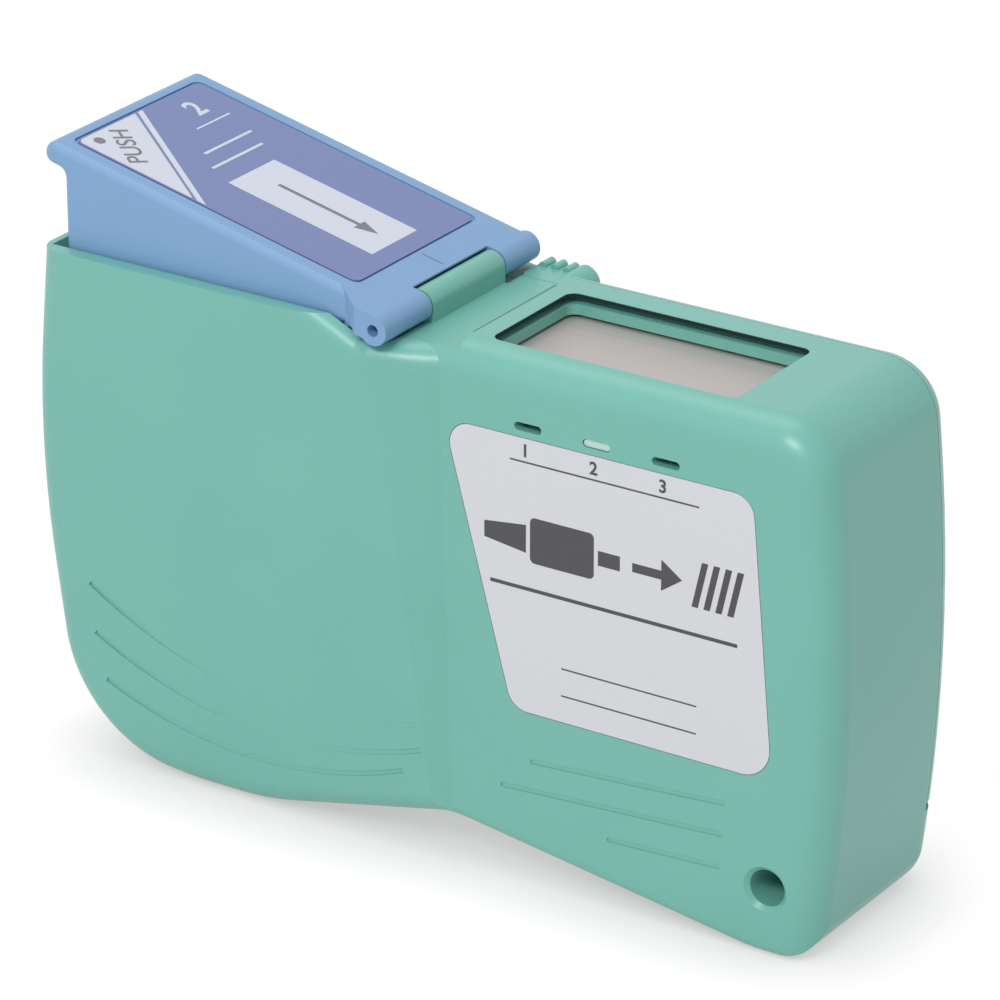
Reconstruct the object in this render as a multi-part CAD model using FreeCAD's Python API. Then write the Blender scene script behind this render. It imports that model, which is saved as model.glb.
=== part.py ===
import FreeCAD, Part
import math
import os

# Hand-held reel cleaner for fibre optic connectors. Millimetres, +Z up, origin at the middle of the base.
# +X points to the window end, -Y to the labelled front, and the push lever stands over the -X end.

# Case
wall = 2.0
left_end_x = -60.4
right_end_x = 61.6
rim_z = 72.5
plateau_z = 71.8
land_z = 70.5
waist_x = 3.6
waist_z = 6.6
grip_half_depth = 18.8
lobe_step = 3.3
grip_lean = 2.5
window_edge_r = 4.6
window_foot_r = 1.5
window_back_foot_r = 5.0
grip_edge_r = 3.0
crease_top_x = 2.6
crease_foot_x = 4.6
crease_tuck = 4.0
crease_r = 40.0
crease_deg = 26.0
bow_z = 36.0
left_bow_z = 44.0
left_lean = 4.2
foot_corner_r = 5.5
case_gap = 0.25

# Lever hinge and gear train
hinge_x = -4.85
hinge_z = 72.5
knuckle_r = 2.0
hinge_pin_r = 0.75
press_deg = 11.5
gear_module = 1.0
sector_teeth = 78
pinion_teeth = 14
arm_teeth = 17
backlash = 0.3
take_up_x = -28.0
arm_x = -16.25
gear_t = 1.7
arm_gear_t = 1.2
arm_t = 1.6
arm_gap = 0.6
running_gap = 0.05

# Lever
lever_gap = 0.4
lever_wall = 1.5
lever_top_t = 1.8
lever_lip_x = -57.0
lever_lip_z = 86.4
lever_end_x = -54.5
lever_foot_z = 67.5
mid_knuckle_half = 8.2
shoulder_back = 5.75
shoulder_front = 2.75
rim_slope_foot = 2.9
rim_slope_run = 4.5
knuckle_gap = 0.3

# Window, shutter and its guide
window_x0 = 7.6
window_x1 = 43.2
window_w = 18.6
shutter_top_z = 68.6
shutter_t = 0.6
shutter_lap = 1.2
shutter_side_lap = 0.7
shutter_travel = 36.5
slide_gap = 0.2
guide_web = 0.8
guide_end_x = -42.0
arm_pin_r = 1.2
land_margin = 2.8
rebate_w = 1.4
rim_lip_t = 0.6
rim_shade = 0.8

# Tape cassette
reel_r = 21.0
reel_hub_r = 8.0
reel_w = 15.4
flange_t = 1.0
supply_x = 27.0
supply_z = 32.0
supply_roll_r = 19.5
take_up_roll_r = 12.0
post_r = 2.0
roller_r = 3.0
roller_axle_r = 1.2
right_roller_x = 47.5
left_roller_x = 4.5
platen_z = 65.2
tape_t = 0.2
tape_gap = 0.1
frame_t = 1.5

# Labels, slots, strap hole, rear cover
label_t = 0.3
lever_label_moat = 0.35
lever_label_x0 = -54.7
lever_label_x1 = -10.9
lever_label_half = 13.4
lever_label_r = 1.2
label_left_x = 3.5
label_right_x = 48.4
label_foot_left_x = 13.7
label_foot_right_x = 51.8
label_corner_r = 3.0
label_foot_r = 4.0
label_top_z = 61.6
label_foot_z = 24.2
slot_pitch = 10.0
slot_first_x = 16.0
slot_z = 63.1
slot_w = 4.0
slot_h = 1.1
strap_x = 51.2
strap_z = 9.1
strap_r = 2.5
strap_wall = 1.6
cover_depth = 4.0
cover_hinge_z = 12.0
cover_pin_r = 0.6
tab_x0 = -2.8
tab_x1 = 4.4
groove_w = 0.7
groove_depth = 0.15

# Values worked out from the sizes above
foot_corner_x = right_end_x - 3.9
sector_r = gear_module * sector_teeth / 2
pinion_r = gear_module * pinion_teeth / 2
arm_gear_r = gear_module * arm_teeth / 2
take_up_z = hinge_z - math.sqrt((sector_r + pinion_r) ** 2 - (hinge_x - take_up_x) ** 2)
arm_z = take_up_z - math.sqrt((pinion_r + arm_gear_r) ** 2 - (arm_x - take_up_x) ** 2)
arm_swing = math.radians(press_deg * sector_teeth / arm_teeth)
arm_length = shutter_travel / 2 / math.sin(arm_swing / 2)
arm_pin_x = arm_x + shutter_travel / 2
arm_pin_z = arm_z + arm_length * math.cos(arm_swing / 2)
arm_pin_top_z = arm_z + arm_length
window_half_depth = grip_half_depth - lobe_step
grip_foot_front = grip_half_depth - grip_lean
lever_half_w = grip_half_depth - wall - lever_gap
split_y = window_half_depth - cover_depth

# Layers from the lever's front wall backwards: gears, arm, shutter tab, reels, cassette frame
gear_front_y = lever_wall - lever_half_w
gear_back_y = gear_front_y + gear_t
arm_front_y = gear_back_y + arm_gap
arm_back_y = arm_front_y + arm_t
tab_y = arm_back_y + slide_gap
reel_front_y = tab_y + shutter_t + 3 * slide_gap
reel_back_y = reel_front_y + reel_w
frame_front_y = reel_back_y + 3 * slide_gap
guide_y0 = gear_back_y + 0.3
window_y0 = guide_y0 + guide_web + slide_gap + shutter_side_lap
window_y1 = window_y0 + window_w
guide_y1 = window_y1 + shutter_side_lap + slide_gap + guide_web
arm_gear_y = gear_back_y - arm_gear_t
under_top_z = shutter_top_z + 0.4
shutter_foot_z = shutter_top_z - shutter_t
roller_z = platen_z - roller_r
cover_hinge_y = window_half_depth - wall / 2
tape_y0 = reel_front_y + flange_t + 0.3
tape_y1 = reel_back_y - flange_t - 0.3

# The lever's top is the plane through its lip that runs tangent onto the hinge knuckle
lip_dx = hinge_x - lever_lip_x
lip_dz = lever_lip_z - hinge_z
lever_slope = math.atan2(lip_dz, lip_dx) - math.asin(knuckle_r / math.hypot(lip_dx, lip_dz))

# Lowest point of the lever's end wall when it is pressed right down
press = math.radians(press_deg)
lever_reach = hinge_x - lever_end_x
pressed_foot_z = hinge_z - lever_reach * math.sin(press) - (hinge_z - lever_foot_z) * math.cos(press)

# How far that end wall swings out past its rest place where it crosses the hinge line
lever_end_swing = lever_reach * (1 / math.cos(press) - 1)
rim_open_x = lever_end_x - lever_end_swing - 1.75 * lever_gap


def lever_top(x):
    return lever_lip_z - math.tan(lever_slope) * (x - lever_lip_x)


def vec(x, y, z):
    return FreeCAD.Vector(x, y, z)


def rounded_wire(corners):
    """Closed wire in the XZ plane through corners (x, z, radius), each corner a tangent arc."""
    count = len(corners)
    spans = []
    for i in range(count):
        x, z, r = corners[i]
        before = FreeCAD.Vector(corners[i - 1][0], 0, corners[i - 1][1])
        here = FreeCAD.Vector(x, 0, z)
        after = FreeCAD.Vector(corners[(i + 1) % count][0], 0, corners[(i + 1) % count][1])
        back = (before - here).normalize()
        ahead = (after - here).normalize()
        half = back.getAngle(ahead) / 2
        if r <= 0 or abs(half - math.pi / 2) < 1e-6:
            spans.append((here, None, here))
            continue
        reach = r / math.tan(half)
        towards = (back + ahead).normalize()
        middle = here + towards * (r / math.sin(half) - r)
        spans.append((here + back * reach, middle, here + ahead * reach))
    edges = []
    for i in range(count):
        start, middle, end = spans[i]
        if middle is not None:
            edges.append(Part.Arc(start, middle, end).toShape())
        following = spans[(i + 1) % count][0]
        if (following - end).Length > 1e-6:
            edges.append(line(end, following))
    return Part.Wire(edges)


def prism(wire, y0, y1):
    """Solid between y0 and y1 on a wire drawn in the XZ plane."""
    face = Part.Face(wire)
    face.translate(vec(0, y0, 0))
    return face.extrude(vec(0, y1 - y0, 0))


def plan_prism(corners, z0, z1):
    """Solid between z0 and z1 on a rounded outline of (x, y, radius) corners seen from above."""
    solid = prism(rounded_wire(corners), -z1, -z0)
    solid.rotate(vec(0, 0, 0), vec(1, 0, 0), -90)
    return solid


def line(start, end):
    return Part.LineSegment(start, end).toShape()


def block(x0, x1, y0, y1, z0, z1):
    return Part.makeBox(x1 - x0, y1 - y0, z1 - z0, vec(x0, y0, z0))


def rod(x, z, r, y0, y1):
    """Cylinder along Y."""
    return Part.makeCylinder(r, y1 - y0, vec(x, y0, z), vec(0, 1, 0))


def ring(x, z, r_out, r_in, y0, y1):
    return rod(x, z, r_out, y0, y1).cut(rod(x, z, r_in, y0 - 1, y1 + 1))


def slot_prism(x, z, width, height, y0, y1):
    """Round-ended slot along X."""
    r = height / 2
    middle = block(x - width / 2 + r, x + width / 2 - r, y0, y1, z - r, z + r)
    ends = [rod(x + s * (width / 2 - r), z, r, y0, y1) for s in (-1, 1)]
    return middle.fuse(ends).removeSplitter()


def polar(x, z, r, angle):
    return vec(x + r * math.cos(angle), 0, z + r * math.sin(angle))


# Gear teeth
def tooth_half_angle(pitch_r, teeth, r):
    """Half the angle that an involute tooth takes up at radius r."""
    pressure = math.radians(20)
    base_r = pitch_r * math.cos(pressure)
    at_r = math.acos(min(1.0, base_r / r))
    pitch_half = math.pi / (2 * teeth) - backlash / 4 / pitch_r
    return pitch_half + (math.tan(pressure) - pressure) - (math.tan(at_r) - at_r)


def tooth_edges(x, z, pitch_r, teeth, middle):
    """Rising flank, tip and falling flank of one tooth, with the angles where it leaves the root."""
    root_r = pitch_r - 1.25 * gear_module
    tip_r = pitch_r + 0.95 * gear_module
    radii = (root_r, (root_r + tip_r) / 2, tip_r)
    halves = [tooth_half_angle(pitch_r, teeth, r) for r in radii]
    rise = [polar(x, z, r, middle - h) for r, h in zip(radii, halves)]
    fall = [polar(x, z, r, middle + h) for r, h in zip(radii, halves)]
    edges = [Part.Arc(*rise).toShape(),
             Part.Arc(rise[2], polar(x, z, tip_r, middle), fall[2]).toShape(),
             Part.Arc(fall[2], fall[1], fall[0]).toShape()]
    return edges, rise[0], fall[0]


def gear_solid(x, z, teeth, first_tooth, y0, y1):
    pitch_r = gear_module * teeth / 2
    root_r = pitch_r - 1.25 * gear_module
    step = 2 * math.pi / teeth
    edges = []
    made = [tooth_edges(x, z, pitch_r, teeth, first_tooth + k * step) for k in range(teeth)]
    for k in range(teeth):
        tooth, start, end = made[k]
        edges += tooth
        gap_middle = polar(x, z, root_r, first_tooth + (k + 0.5) * step)
        edges.append(Part.Arc(end, gap_middle, made[(k + 1) % teeth][1]).toShape())
    return prism(Part.Wire(edges), y0, y1)


# Case outline
def left_corners():
    """Grip lobe seen from the front, carried up past the rim so that the rim is cut off flat."""
    above = rim_z + 8
    foot_x = hinge_x - rim_slope_foot
    head_x = foot_x - rim_slope_run * (above - land_z) / (rim_z - land_z)
    return [(left_end_x + left_lean, above, grip_edge_r + 1), (left_end_x, left_bow_z, 150),
            (left_end_x + 4.6, 1.6, 19),
            (-36.0, 0, 40), (-25.0, 0, 40), (crease_foot_x + crease_tuck, waist_z + 0.9, 5),
            (crease_top_x + crease_tuck, land_z, grip_edge_r + 1), (foot_x, land_z, 0.8),
            (head_x, above, grip_edge_r + 1)]


def right_corners():
    """Window lobe seen from the front, running on inside the grip lobe."""
    inside_x = -12.0
    inside_z = waist_z - (waist_x - inside_x) * waist_z / (waist_x + 25.0)
    return [(inside_x, plateau_z, 5), (inside_x, inside_z, 5), (waist_x, waist_z, 16), (49.0, 0, 20),
            (foot_corner_x, 0, foot_corner_r), (right_end_x, bow_z, 250),
            (right_end_x - 3.7, plateau_z, 8)]


def window_lobe():
    """Window lobe: generous edges round its sides and top, a tighter one round its foot."""
    lean = (right_end_x - foot_corner_x) / bow_z
    below = -20.0
    above = plateau_z + 20.0
    inside, inside_foot, waist, foot = right_corners()[:4]
    sides = [inside, (inside[0], below, 0), (foot_corner_x + lean * below, below, 0)] + right_corners()[5:]
    foot_line = [(inside[0], above, 0), inside_foot, waist, foot, (foot_corner_x + 0.05, 0, foot_corner_r),
                 (foot_corner_x + lean * above + 1.0, above, 0)]
    upper = prism(rounded_wire(sides), -window_half_depth, window_half_depth)
    lower = prism(rounded_wire(foot_line), -window_half_depth, window_half_depth)
    lower = softened(softened(lower, window_foot_r, (-1,)), window_back_foot_r, (1,))
    return softened(upper, window_edge_r, (-1, 1)).common(lower)


def front_y(z):
    """Front face of the grip lobe, which leans out towards the rim."""
    return -(grip_foot_front + (grip_half_depth - grip_foot_front) * z / rim_z)


def back_y(z):
    """Back face of the grip lobe, flush with the window lobe at the cover hinge."""
    lean = (grip_half_depth - window_half_depth) / (rim_z - cover_hinge_z)
    return window_half_depth + lean * (z - cover_hinge_z)


def grip_wedge(inset):
    """Block between the two leaning faces of the grip lobe, inset by a wall."""
    low, high = -5.0, rim_z + 20
    corners = [(front_y(low) + inset, low), (front_y(high) + inset, high),
               (back_y(high) - inset, high), (back_y(low) - inset, low)]
    points = [vec(left_end_x - 10, y, z) for y, z in corners]
    face = Part.Face(Part.makePolygon(points + points[:1]))
    return face.extrude(vec(crease_foot_x - left_end_x + 20, 0, 0))


def softened(solid, radius, sides):
    """Round the edges of the front face (-1), the back face (1) or both."""
    edges = []
    for face in solid.Faces:
        if any(side * face.normalAt(0, 0).y > 0.8 for side in sides):
            edges += [e for e in face.OuterWire.Edges if not any(e.isSame(known) for known in edges)]
    return solid.makeFillet(radius, edges)


def crease_round(side, inset):
    """Big cylinder whose side is the gentle slope from the grip lobe down to the window lobe."""
    top = vec(crease_top_x, side * window_half_depth, land_z)
    foot = vec(crease_foot_x, side * window_half_depth, waist_z)
    steep = math.radians(crease_deg)
    away = vec(-math.sin(steep), -side * math.cos(steep), 0) * crease_r
    along = top - foot
    drum = Part.makeCylinder(crease_r - inset, 200, foot + away - along, along)
    drum = drum.cut(block(-150, 150, -150, 150, land_z - inset, 300))
    if inset > 0:
        return drum
    return drum.makeFillet(grip_edge_r, [e for e in drum.Edges if abs(e.CenterOfMass.z - land_z) < 1e-3])


def crease_limit(inset):
    """Space that the grip lobe may fill: all of it left of the hinge, then inside both slopes."""
    left_of_hinge = block(left_end_x - 20, hinge_x - rim_slope_foot + lever_gap, -60, 60, -30, rim_z + 30)
    return crease_round(-1, inset).common(crease_round(1, inset)).fuse(left_of_hinge)


def case_outside():
    left = prism(rounded_wire(left_corners()), -grip_half_depth - 5, grip_half_depth + 5)
    left = softened(left.common(grip_wedge(0)), grip_edge_r, (-1, 1)).common(crease_limit(0))
    left = left.cut(block(left_end_x - 5, right_end_x, -40, 40, rim_z, rim_z + 30))
    body = window_lobe()
    over_land = block(-30, window_x0 - land_margin, -40, 40, land_z, rim_z + 30)
    return body.cut(over_land).fuse(left).removeSplitter()


def case_inside():
    right = rounded_wire(right_corners()).makeOffset2D(-wall)
    left = rounded_wire(left_corners()).makeOffset2D(-wall)
    inner_y = window_half_depth - wall
    room = prism(right, -inner_y, inner_y)
    left_room = prism(left, -grip_half_depth - 5, grip_half_depth + 5).common(grip_wedge(wall))
    room = room.fuse(left_room.common(crease_limit(wall)))
    room = room.cut(block(hinge_x - 6.35, right_end_x, -40, 40, under_top_z, rim_z + 30))
    tunnel = block(hinge_x - 6.35, window_x0 + 4, window_y0 - 2.0, window_y1 + 2.0,
                   shutter_foot_z - 3, under_top_z)
    return room.fuse(tunnel)


def hinge_pockets():
    """Room for the lever's two end knuckles, cut into the land; at the back it runs out through the wall."""
    floor_z = land_z - 0.6
    open_y = lever_half_w + lever_gap
    front = block(hinge_x - shoulder_front, hinge_x, -open_y, -mid_knuckle_half, floor_z, rim_z + 10)
    back = block(hinge_x - shoulder_back - 0.6, hinge_x + knuckle_r + 0.45, mid_knuckle_half,
                 grip_half_depth + 5, floor_z, rim_z + 10)
    trough = rod(hinge_x, hinge_z, knuckle_r + knuckle_gap, -grip_half_depth - 5, -mid_knuckle_half)
    return [front, back, trough]


def left_wall_x(z):
    """Middle of the left wall near the rim, where the grip lobe's side is straight."""
    return left_end_x + left_lean * (z - left_bow_z) / (rim_z + 8 - left_bow_z) + 0.4 * wall


def rim_bolster():
    """Ledge inside the left rim that narrows the gap beside the lever's end as far as its swing allows."""
    depth = lever_end_swing / math.tan(press)
    ledge_x = rim_open_x + lever_end_swing
    low_z = rim_z - depth - 3 * wall
    corners = [(left_wall_x(rim_z), rim_z, 0), (rim_open_x, rim_z, 0), (ledge_x, rim_z - depth, 0),
               (ledge_x, rim_z - depth - wall, 0), (left_wall_x(low_z), low_z, 0)]
    return prism(rounded_wire(corners), -lever_half_w - 2 * lever_gap, split_y - case_gap)


def label_corners():
    return [(label_left_x, label_top_z, label_corner_r), (label_right_x, label_top_z, label_corner_r),
            (label_foot_right_x, label_foot_z, label_foot_r),
            (label_foot_left_x, label_foot_z, label_corner_r)]


def arc_groove(left, middle, right, y0, y1):
    """Curved grip groove through three points of the front face."""
    points = [vec(p[0], 0, p[1]) for p in (left, middle, right)]
    centre = Part.Arc(*points).toShape().Curve.Center
    sides = []
    for shift in (-groove_w / 2, groove_w / 2):
        sides.append([centre + (p - centre) * (1 + shift / (p - centre).Length) for p in points])
    inner, outer = sides
    edges = [Part.Arc(*inner).toShape(), line(inner[2], outer[2]),
             Part.Arc(outer[2], outer[1], outer[0]).toShape(), line(outer[0], inner[0])]
    return prism(Part.Wire(edges), y0, y1)


def grip_grooves():
    """Three curved grooves on the grip lobe and three nearly level ones under the label."""
    cuts = []
    for left, middle, right in (((-51.6, 25.8), (-24.0, 16.2), (-0.2, 18.6)),
                                ((-51.1, 18.7), (-24.0, 11.2), (0.6, 15.2)),
                                ((-49.6, 12.1), (-24.0, 7.0), (-2.3, 11.5))):
        floor_y = front_y((left[1] + middle[1]) / 2) + groove_depth
        cuts.append(arc_groove(left, middle, right, floor_y - 4, floor_y))
    for (x0, z0), (x1, z1) in (((16.5, 17.4), (45.4, 19.4)), ((12.0, 13.0), (45.0, 15.0)),
                               ((28.0, 9.6), (44.6, 10.4))):
        length = math.hypot(x1 - x0, z1 - z0)
        cut = slot_prism(0, 0, length, groove_w, -window_half_depth - 4, -window_half_depth + groove_depth)
        cut.rotate(vec(0, 0, 0), vec(0, -1, 0), math.degrees(math.atan2(z1 - z0, x1 - x0)))
        cut.translate(vec((x0 + x1) / 2, 0, (z0 + z1) / 2))
        cuts.append(cut)
    return cuts


def indicator_slots():
    return [slot_prism(slot_first_x + k * slot_pitch, slot_z, slot_w, slot_h, -window_half_depth - 1,
                       -window_half_depth + wall + 1) for k in range(3)]


cassette_posts = ((-51.0, 24.0), (0.0, 17.0), (52.5, 24.0), (53.0, 50.0))
spring_x = -47.5
spring_coil_r = 3.2
spring_wire_r = 0.5
spring_turns = 6
shelf_z = 54.0


def case_posts():
    """Posts that carry the gears, the reels and the cassette, and the shelf under the lever spring."""
    posts = [rod(take_up_x, take_up_z, post_r, gear_front_y - wall, reel_back_y - 2.8),
             rod(take_up_x, take_up_z, post_r + 1.5, gear_front_y - wall, gear_front_y - 0.1),
             rod(arm_x, arm_z, post_r, arm_gear_y - wall, reel_front_y - 0.7),
             rod(arm_x, arm_z, post_r + 1.2, arm_gear_y - wall, arm_gear_y - 0.1),
             rod(supply_x, supply_z, post_r, -window_half_depth + 0.5, reel_back_y - 2.8),
             rod(supply_x, supply_z, post_r + 3.0, -window_half_depth + 0.5, reel_front_y - 0.8)]
    for x, z in cassette_posts:
        root_y = front_y(z) + wall / 2 if x < 0 else -window_half_depth + wall / 4
        posts.append(rod(x, z, post_r, root_y, frame_front_y))
    half = spring_coil_r + spring_wire_r + 0.8
    posts.append(block(left_end_x + 1.5, spring_x + half, -half, half, shelf_z - 2.0, shelf_z))
    posts.append(Part.makeCylinder(spring_coil_r - spring_wire_r - 0.3, 3.0, vec(spring_x, 0, shelf_z)))
    return posts


def mid_knuckle():
    web = block(hinge_x - knuckle_r, hinge_x + knuckle_r, -mid_knuckle_half, mid_knuckle_half,
                land_z - 0.5, hinge_z)
    return rod(hinge_x, hinge_z, knuckle_r, -mid_knuckle_half, mid_knuckle_half).fuse(web)


def strap_tube():
    return rod(strap_x, strap_z, strap_r + strap_wall, -window_half_depth + wall / 2, window_half_depth)


def strap_bore():
    """Through hole with a softened mouth at each end."""
    bore = rod(strap_x, strap_z, strap_r, -window_half_depth - 5, window_half_depth + 5)
    mouth = 0.6
    for side in (-1, 1):
        foot = vec(strap_x, side * (window_half_depth - mouth), strap_z)
        bore = bore.fuse(Part.makeCone(strap_r, strap_r + mouth, mouth, foot, vec(0, side, 0)))
    return bore


hinge_lugs = (-20.0, 20.0)
lug_w = 4.6
cover_barrel_half = 44.0


def cover_region():
    """Space that the rear cover takes up: the back of the case above the hinge line."""
    return block(-80, 80, split_y, 60, cover_hinge_z, 120)


def cover_axis_rod(x0, x1, r):
    return Part.makeCylinder(r, x1 - x0, vec(x0, cover_hinge_y, cover_hinge_z), vec(1, 0, 0))


def case_shell():
    shell = case_outside().cut(case_inside())
    open_y = lever_half_w + lever_gap
    opening = block(rim_open_x, hinge_x - 2.05, -open_y, open_y, pressed_foot_z - 0.8, rim_z + 10)
    shell = shell.cut(opening).fuse(rim_bolster())
    return shell.cut(hinge_pockets())


def window_outline(grow, z0, z1):
    """Rounded window opening grown by a margin, between two heights."""
    x0, x1, y0, y1 = window_x0 - grow, window_x1 + grow, window_y0 - grow, window_y1 + grow
    return plan_prism([(x0, y0, 1.5), (x1, y0, 1.5), (x1, y1, 1.5), (x0, y1, 1.5)], z0, z1)


def window_frame():
    """Inner frame set in the rebate under the window's rim, leaving a shadow gap below the lip."""
    top_z = plateau_z - rim_lip_t - rim_shade
    frame = window_outline(rebate_w - slide_gap / 2, under_top_z, top_z)
    return frame.cut(window_outline(-slide_gap, under_top_z - 1, top_z + 1))


def front_case(shell):
    sill_z = cover_hinge_z - wall / 2 - case_gap
    away = block(-80, 80, split_y - case_gap / 2, 60, sill_z, 120)
    case = shell.cut(away)
    case = case.fuse(case_posts() + [mid_knuckle(), strap_tube()])
    for x in hinge_lugs:
        lug = cover_axis_rod(x - lug_w / 2, x + lug_w / 2, wall / 2)
        foot = block(x - lug_w / 2, x + lug_w / 2, window_half_depth - wall, cover_hinge_y,
                     sill_z - 1, cover_hinge_z)
        case = case.fuse(lug.fuse(foot))
    case = case.cut(cover_axis_rod(-cover_barrel_half, cover_barrel_half, cover_pin_r + running_gap))
    case = case.cut(strap_bore())
    case = case.cut(rod(hinge_x, hinge_z, hinge_pin_r + running_gap, -60, 60))
    rebate = window_outline(rebate_w, under_top_z - 1, plateau_z - rim_lip_t)
    case = case.cut([window_outline(0, under_top_z - 1, rim_z + 10), rebate])
    recess = rounded_wire(label_corners()).makeOffset2D(0.1)
    recess = prism(recess, -window_half_depth - 5, -window_half_depth + label_t)
    case = case.cut([recess] + indicator_slots() + grip_grooves() + screw_shanks())
    return case.removeSplitter()


def rear_cover(shell):
    cover = shell.common(cover_region())
    for x0, x1 in ((left_end_x - 5, -cover_barrel_half), (cover_barrel_half, right_end_x + 5)):
        cover = cover.fuse(shell.common(cover_axis_rod(x0, x1, wall / 2)))
    tube_r = strap_r + strap_wall
    side_gap = 3 * case_gap
    tube_notch = tube_r + side_gap
    cover = cover.cut(block(strap_x - tube_notch, strap_x + tube_notch, 0, 40, 0, strap_z + tube_r + 1.2))
    edges = sorted((-cover_barrel_half, cover_barrel_half) + tuple(x + s * (lug_w / 2 + case_gap)
                   for x in hinge_lugs for s in (-1, 1)))
    for x0, x1 in zip(edges[0::2], edges[1::2]):
        cover = cover.fuse(cover_axis_rod(x0, x1, wall / 2))
    for x in hinge_lugs:
        notch = lug_w / 2 + case_gap
        cover = cover.cut(cover_axis_rod(x - notch, x + notch, wall / 2 + case_gap))
    for x, z in ((-46.0, 40.0), (0.0, 34.0), (40.0, 50.0)):
        wall_y = max(back_y(z) if x < crease_top_x else 0, window_half_depth) - wall / 2
        cover = cover.fuse(rod(x, z, post_r, frame_front_y + frame_t + slide_gap, wall_y))
    cover = cover.fuse(block(tab_x0, tab_x1, split_y + 1, grip_half_depth - 1.0, land_z - 2, land_z))
    ridge_pitch = (tab_x1 - tab_x0) / 4
    for k in range(4):
        x = tab_x0 + (k + 0.5) * ridge_pitch
        cover = cover.fuse(rod(x, land_z, 0.6, window_half_depth, grip_half_depth - 1.0))
    screw_room = [Part.makeCylinder(screw_r + case_gap, 5.0, vec(x, y, under_top_z - 3.5))
                  for x, y in screw_places()]
    pin_bore = cover_axis_rod(-cover_barrel_half, cover_barrel_half, cover_pin_r + running_gap)
    frame_room = window_outline(rebate_w + case_gap, under_top_z - 1, plateau_z - rim_lip_t)
    return cover.cut(screw_room + [pin_bore, frame_room]).removeSplitter()


def cover_pin():
    return cover_axis_rod(-cover_barrel_half + 1, cover_barrel_half - 1, cover_pin_r)


def front_label():
    return prism(rounded_wire(label_corners()), -window_half_depth, -window_half_depth + label_t)


def type_marker():
    x = slot_first_x + slot_pitch
    face_y = -window_half_depth
    plug = slot_prism(x, slot_z, slot_w - 0.2, slot_h - 0.2, face_y + 0.2, face_y + wall)
    flange = slot_prism(x, slot_z, slot_w + 2, slot_h + 1.6, face_y + wall, face_y + wall + 1)
    return plug.fuse(flange).removeSplitter()


# Lever
def lever_side():
    """Side view of the lever: end wall, rounded lip, sloping top that runs onto the hinge knuckle."""
    run_out_x = hinge_x + knuckle_r * math.sin(lever_slope)
    run_out = vec(run_out_x, 0, hinge_z + knuckle_r * math.cos(lever_slope))
    lip_z = lever_top(lever_lip_x - 0.6)
    return [(lever_end_x, lever_foot_z, 0.8), (lever_end_x, lip_z - 3.9, 1.2),
            (lever_lip_x - 0.6, lip_z - 3.1, 1.5),
            (lever_lip_x - 0.6, lip_z, 1.5), (run_out.x, run_out.z, 0), (hinge_x, hinge_z, 0),
            (hinge_x - 1.0, hinge_z - knuckle_r + 0.3, 0), (hinge_x - 4.65, hinge_z - 1.3, 0)]


def lever_plan():
    """Lever seen from above: parallel sides, the front one flaring out to the end of the hinge."""
    outline = [(lever_lip_x - 5, lever_half_w), (lever_lip_x - 5, -lever_half_w),
               (hinge_x - shoulder_back, -lever_half_w), (hinge_x - shoulder_front, -grip_half_depth),
               (hinge_x + 10, -grip_half_depth), (hinge_x + 10, lever_half_w)]
    points = [vec(x, y, lever_foot_z - 20) for x, y in outline]
    return Part.Face(Part.makePolygon(points + points[:1])).extrude(vec(0, 0, 60))


def lever_panel(z0, z1, grow):
    """Rounded panel in the lever's sloping top, between two heights above that top."""
    x0, half, r = lever_label_x0, lever_label_half, lever_label_r
    length = (lever_label_x1 - x0) / math.cos(lever_slope)
    panel = plan_prism([(-grow, -half - grow, r), (length + grow, -half - grow, r),
                        (length + grow, half + grow, r), (-grow, half + grow, r)], z0, z1)
    panel.rotate(vec(0, 0, 0), vec(0, 1, 0), math.degrees(lever_slope))
    panel.translate(vec(x0, 0, lever_top(x0)))
    return panel


def lever_label():
    return lever_panel(-label_t, 0, 0)


def shoulder_relief():
    """Cut under the flared shoulder, so that it clears the sloping rim when the lever is down."""
    low_z = lever_foot_z - 10
    corners = [(hinge_x - knuckle_r / 2, low_z, 0)]
    rim_points = ((knuckle_r / 2, land_z), (rim_slope_foot, land_z), (rim_slope_foot + rim_slope_run, rim_z))
    for reach, z in rim_points:
        corners.append((hinge_x - reach, z + lever_gap + reach * math.tan(press), 0))
    corners.append((corners[-1][0], low_z, 0))
    return prism(rounded_wire(corners), -grip_half_depth - 1, -lever_half_w)


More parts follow.
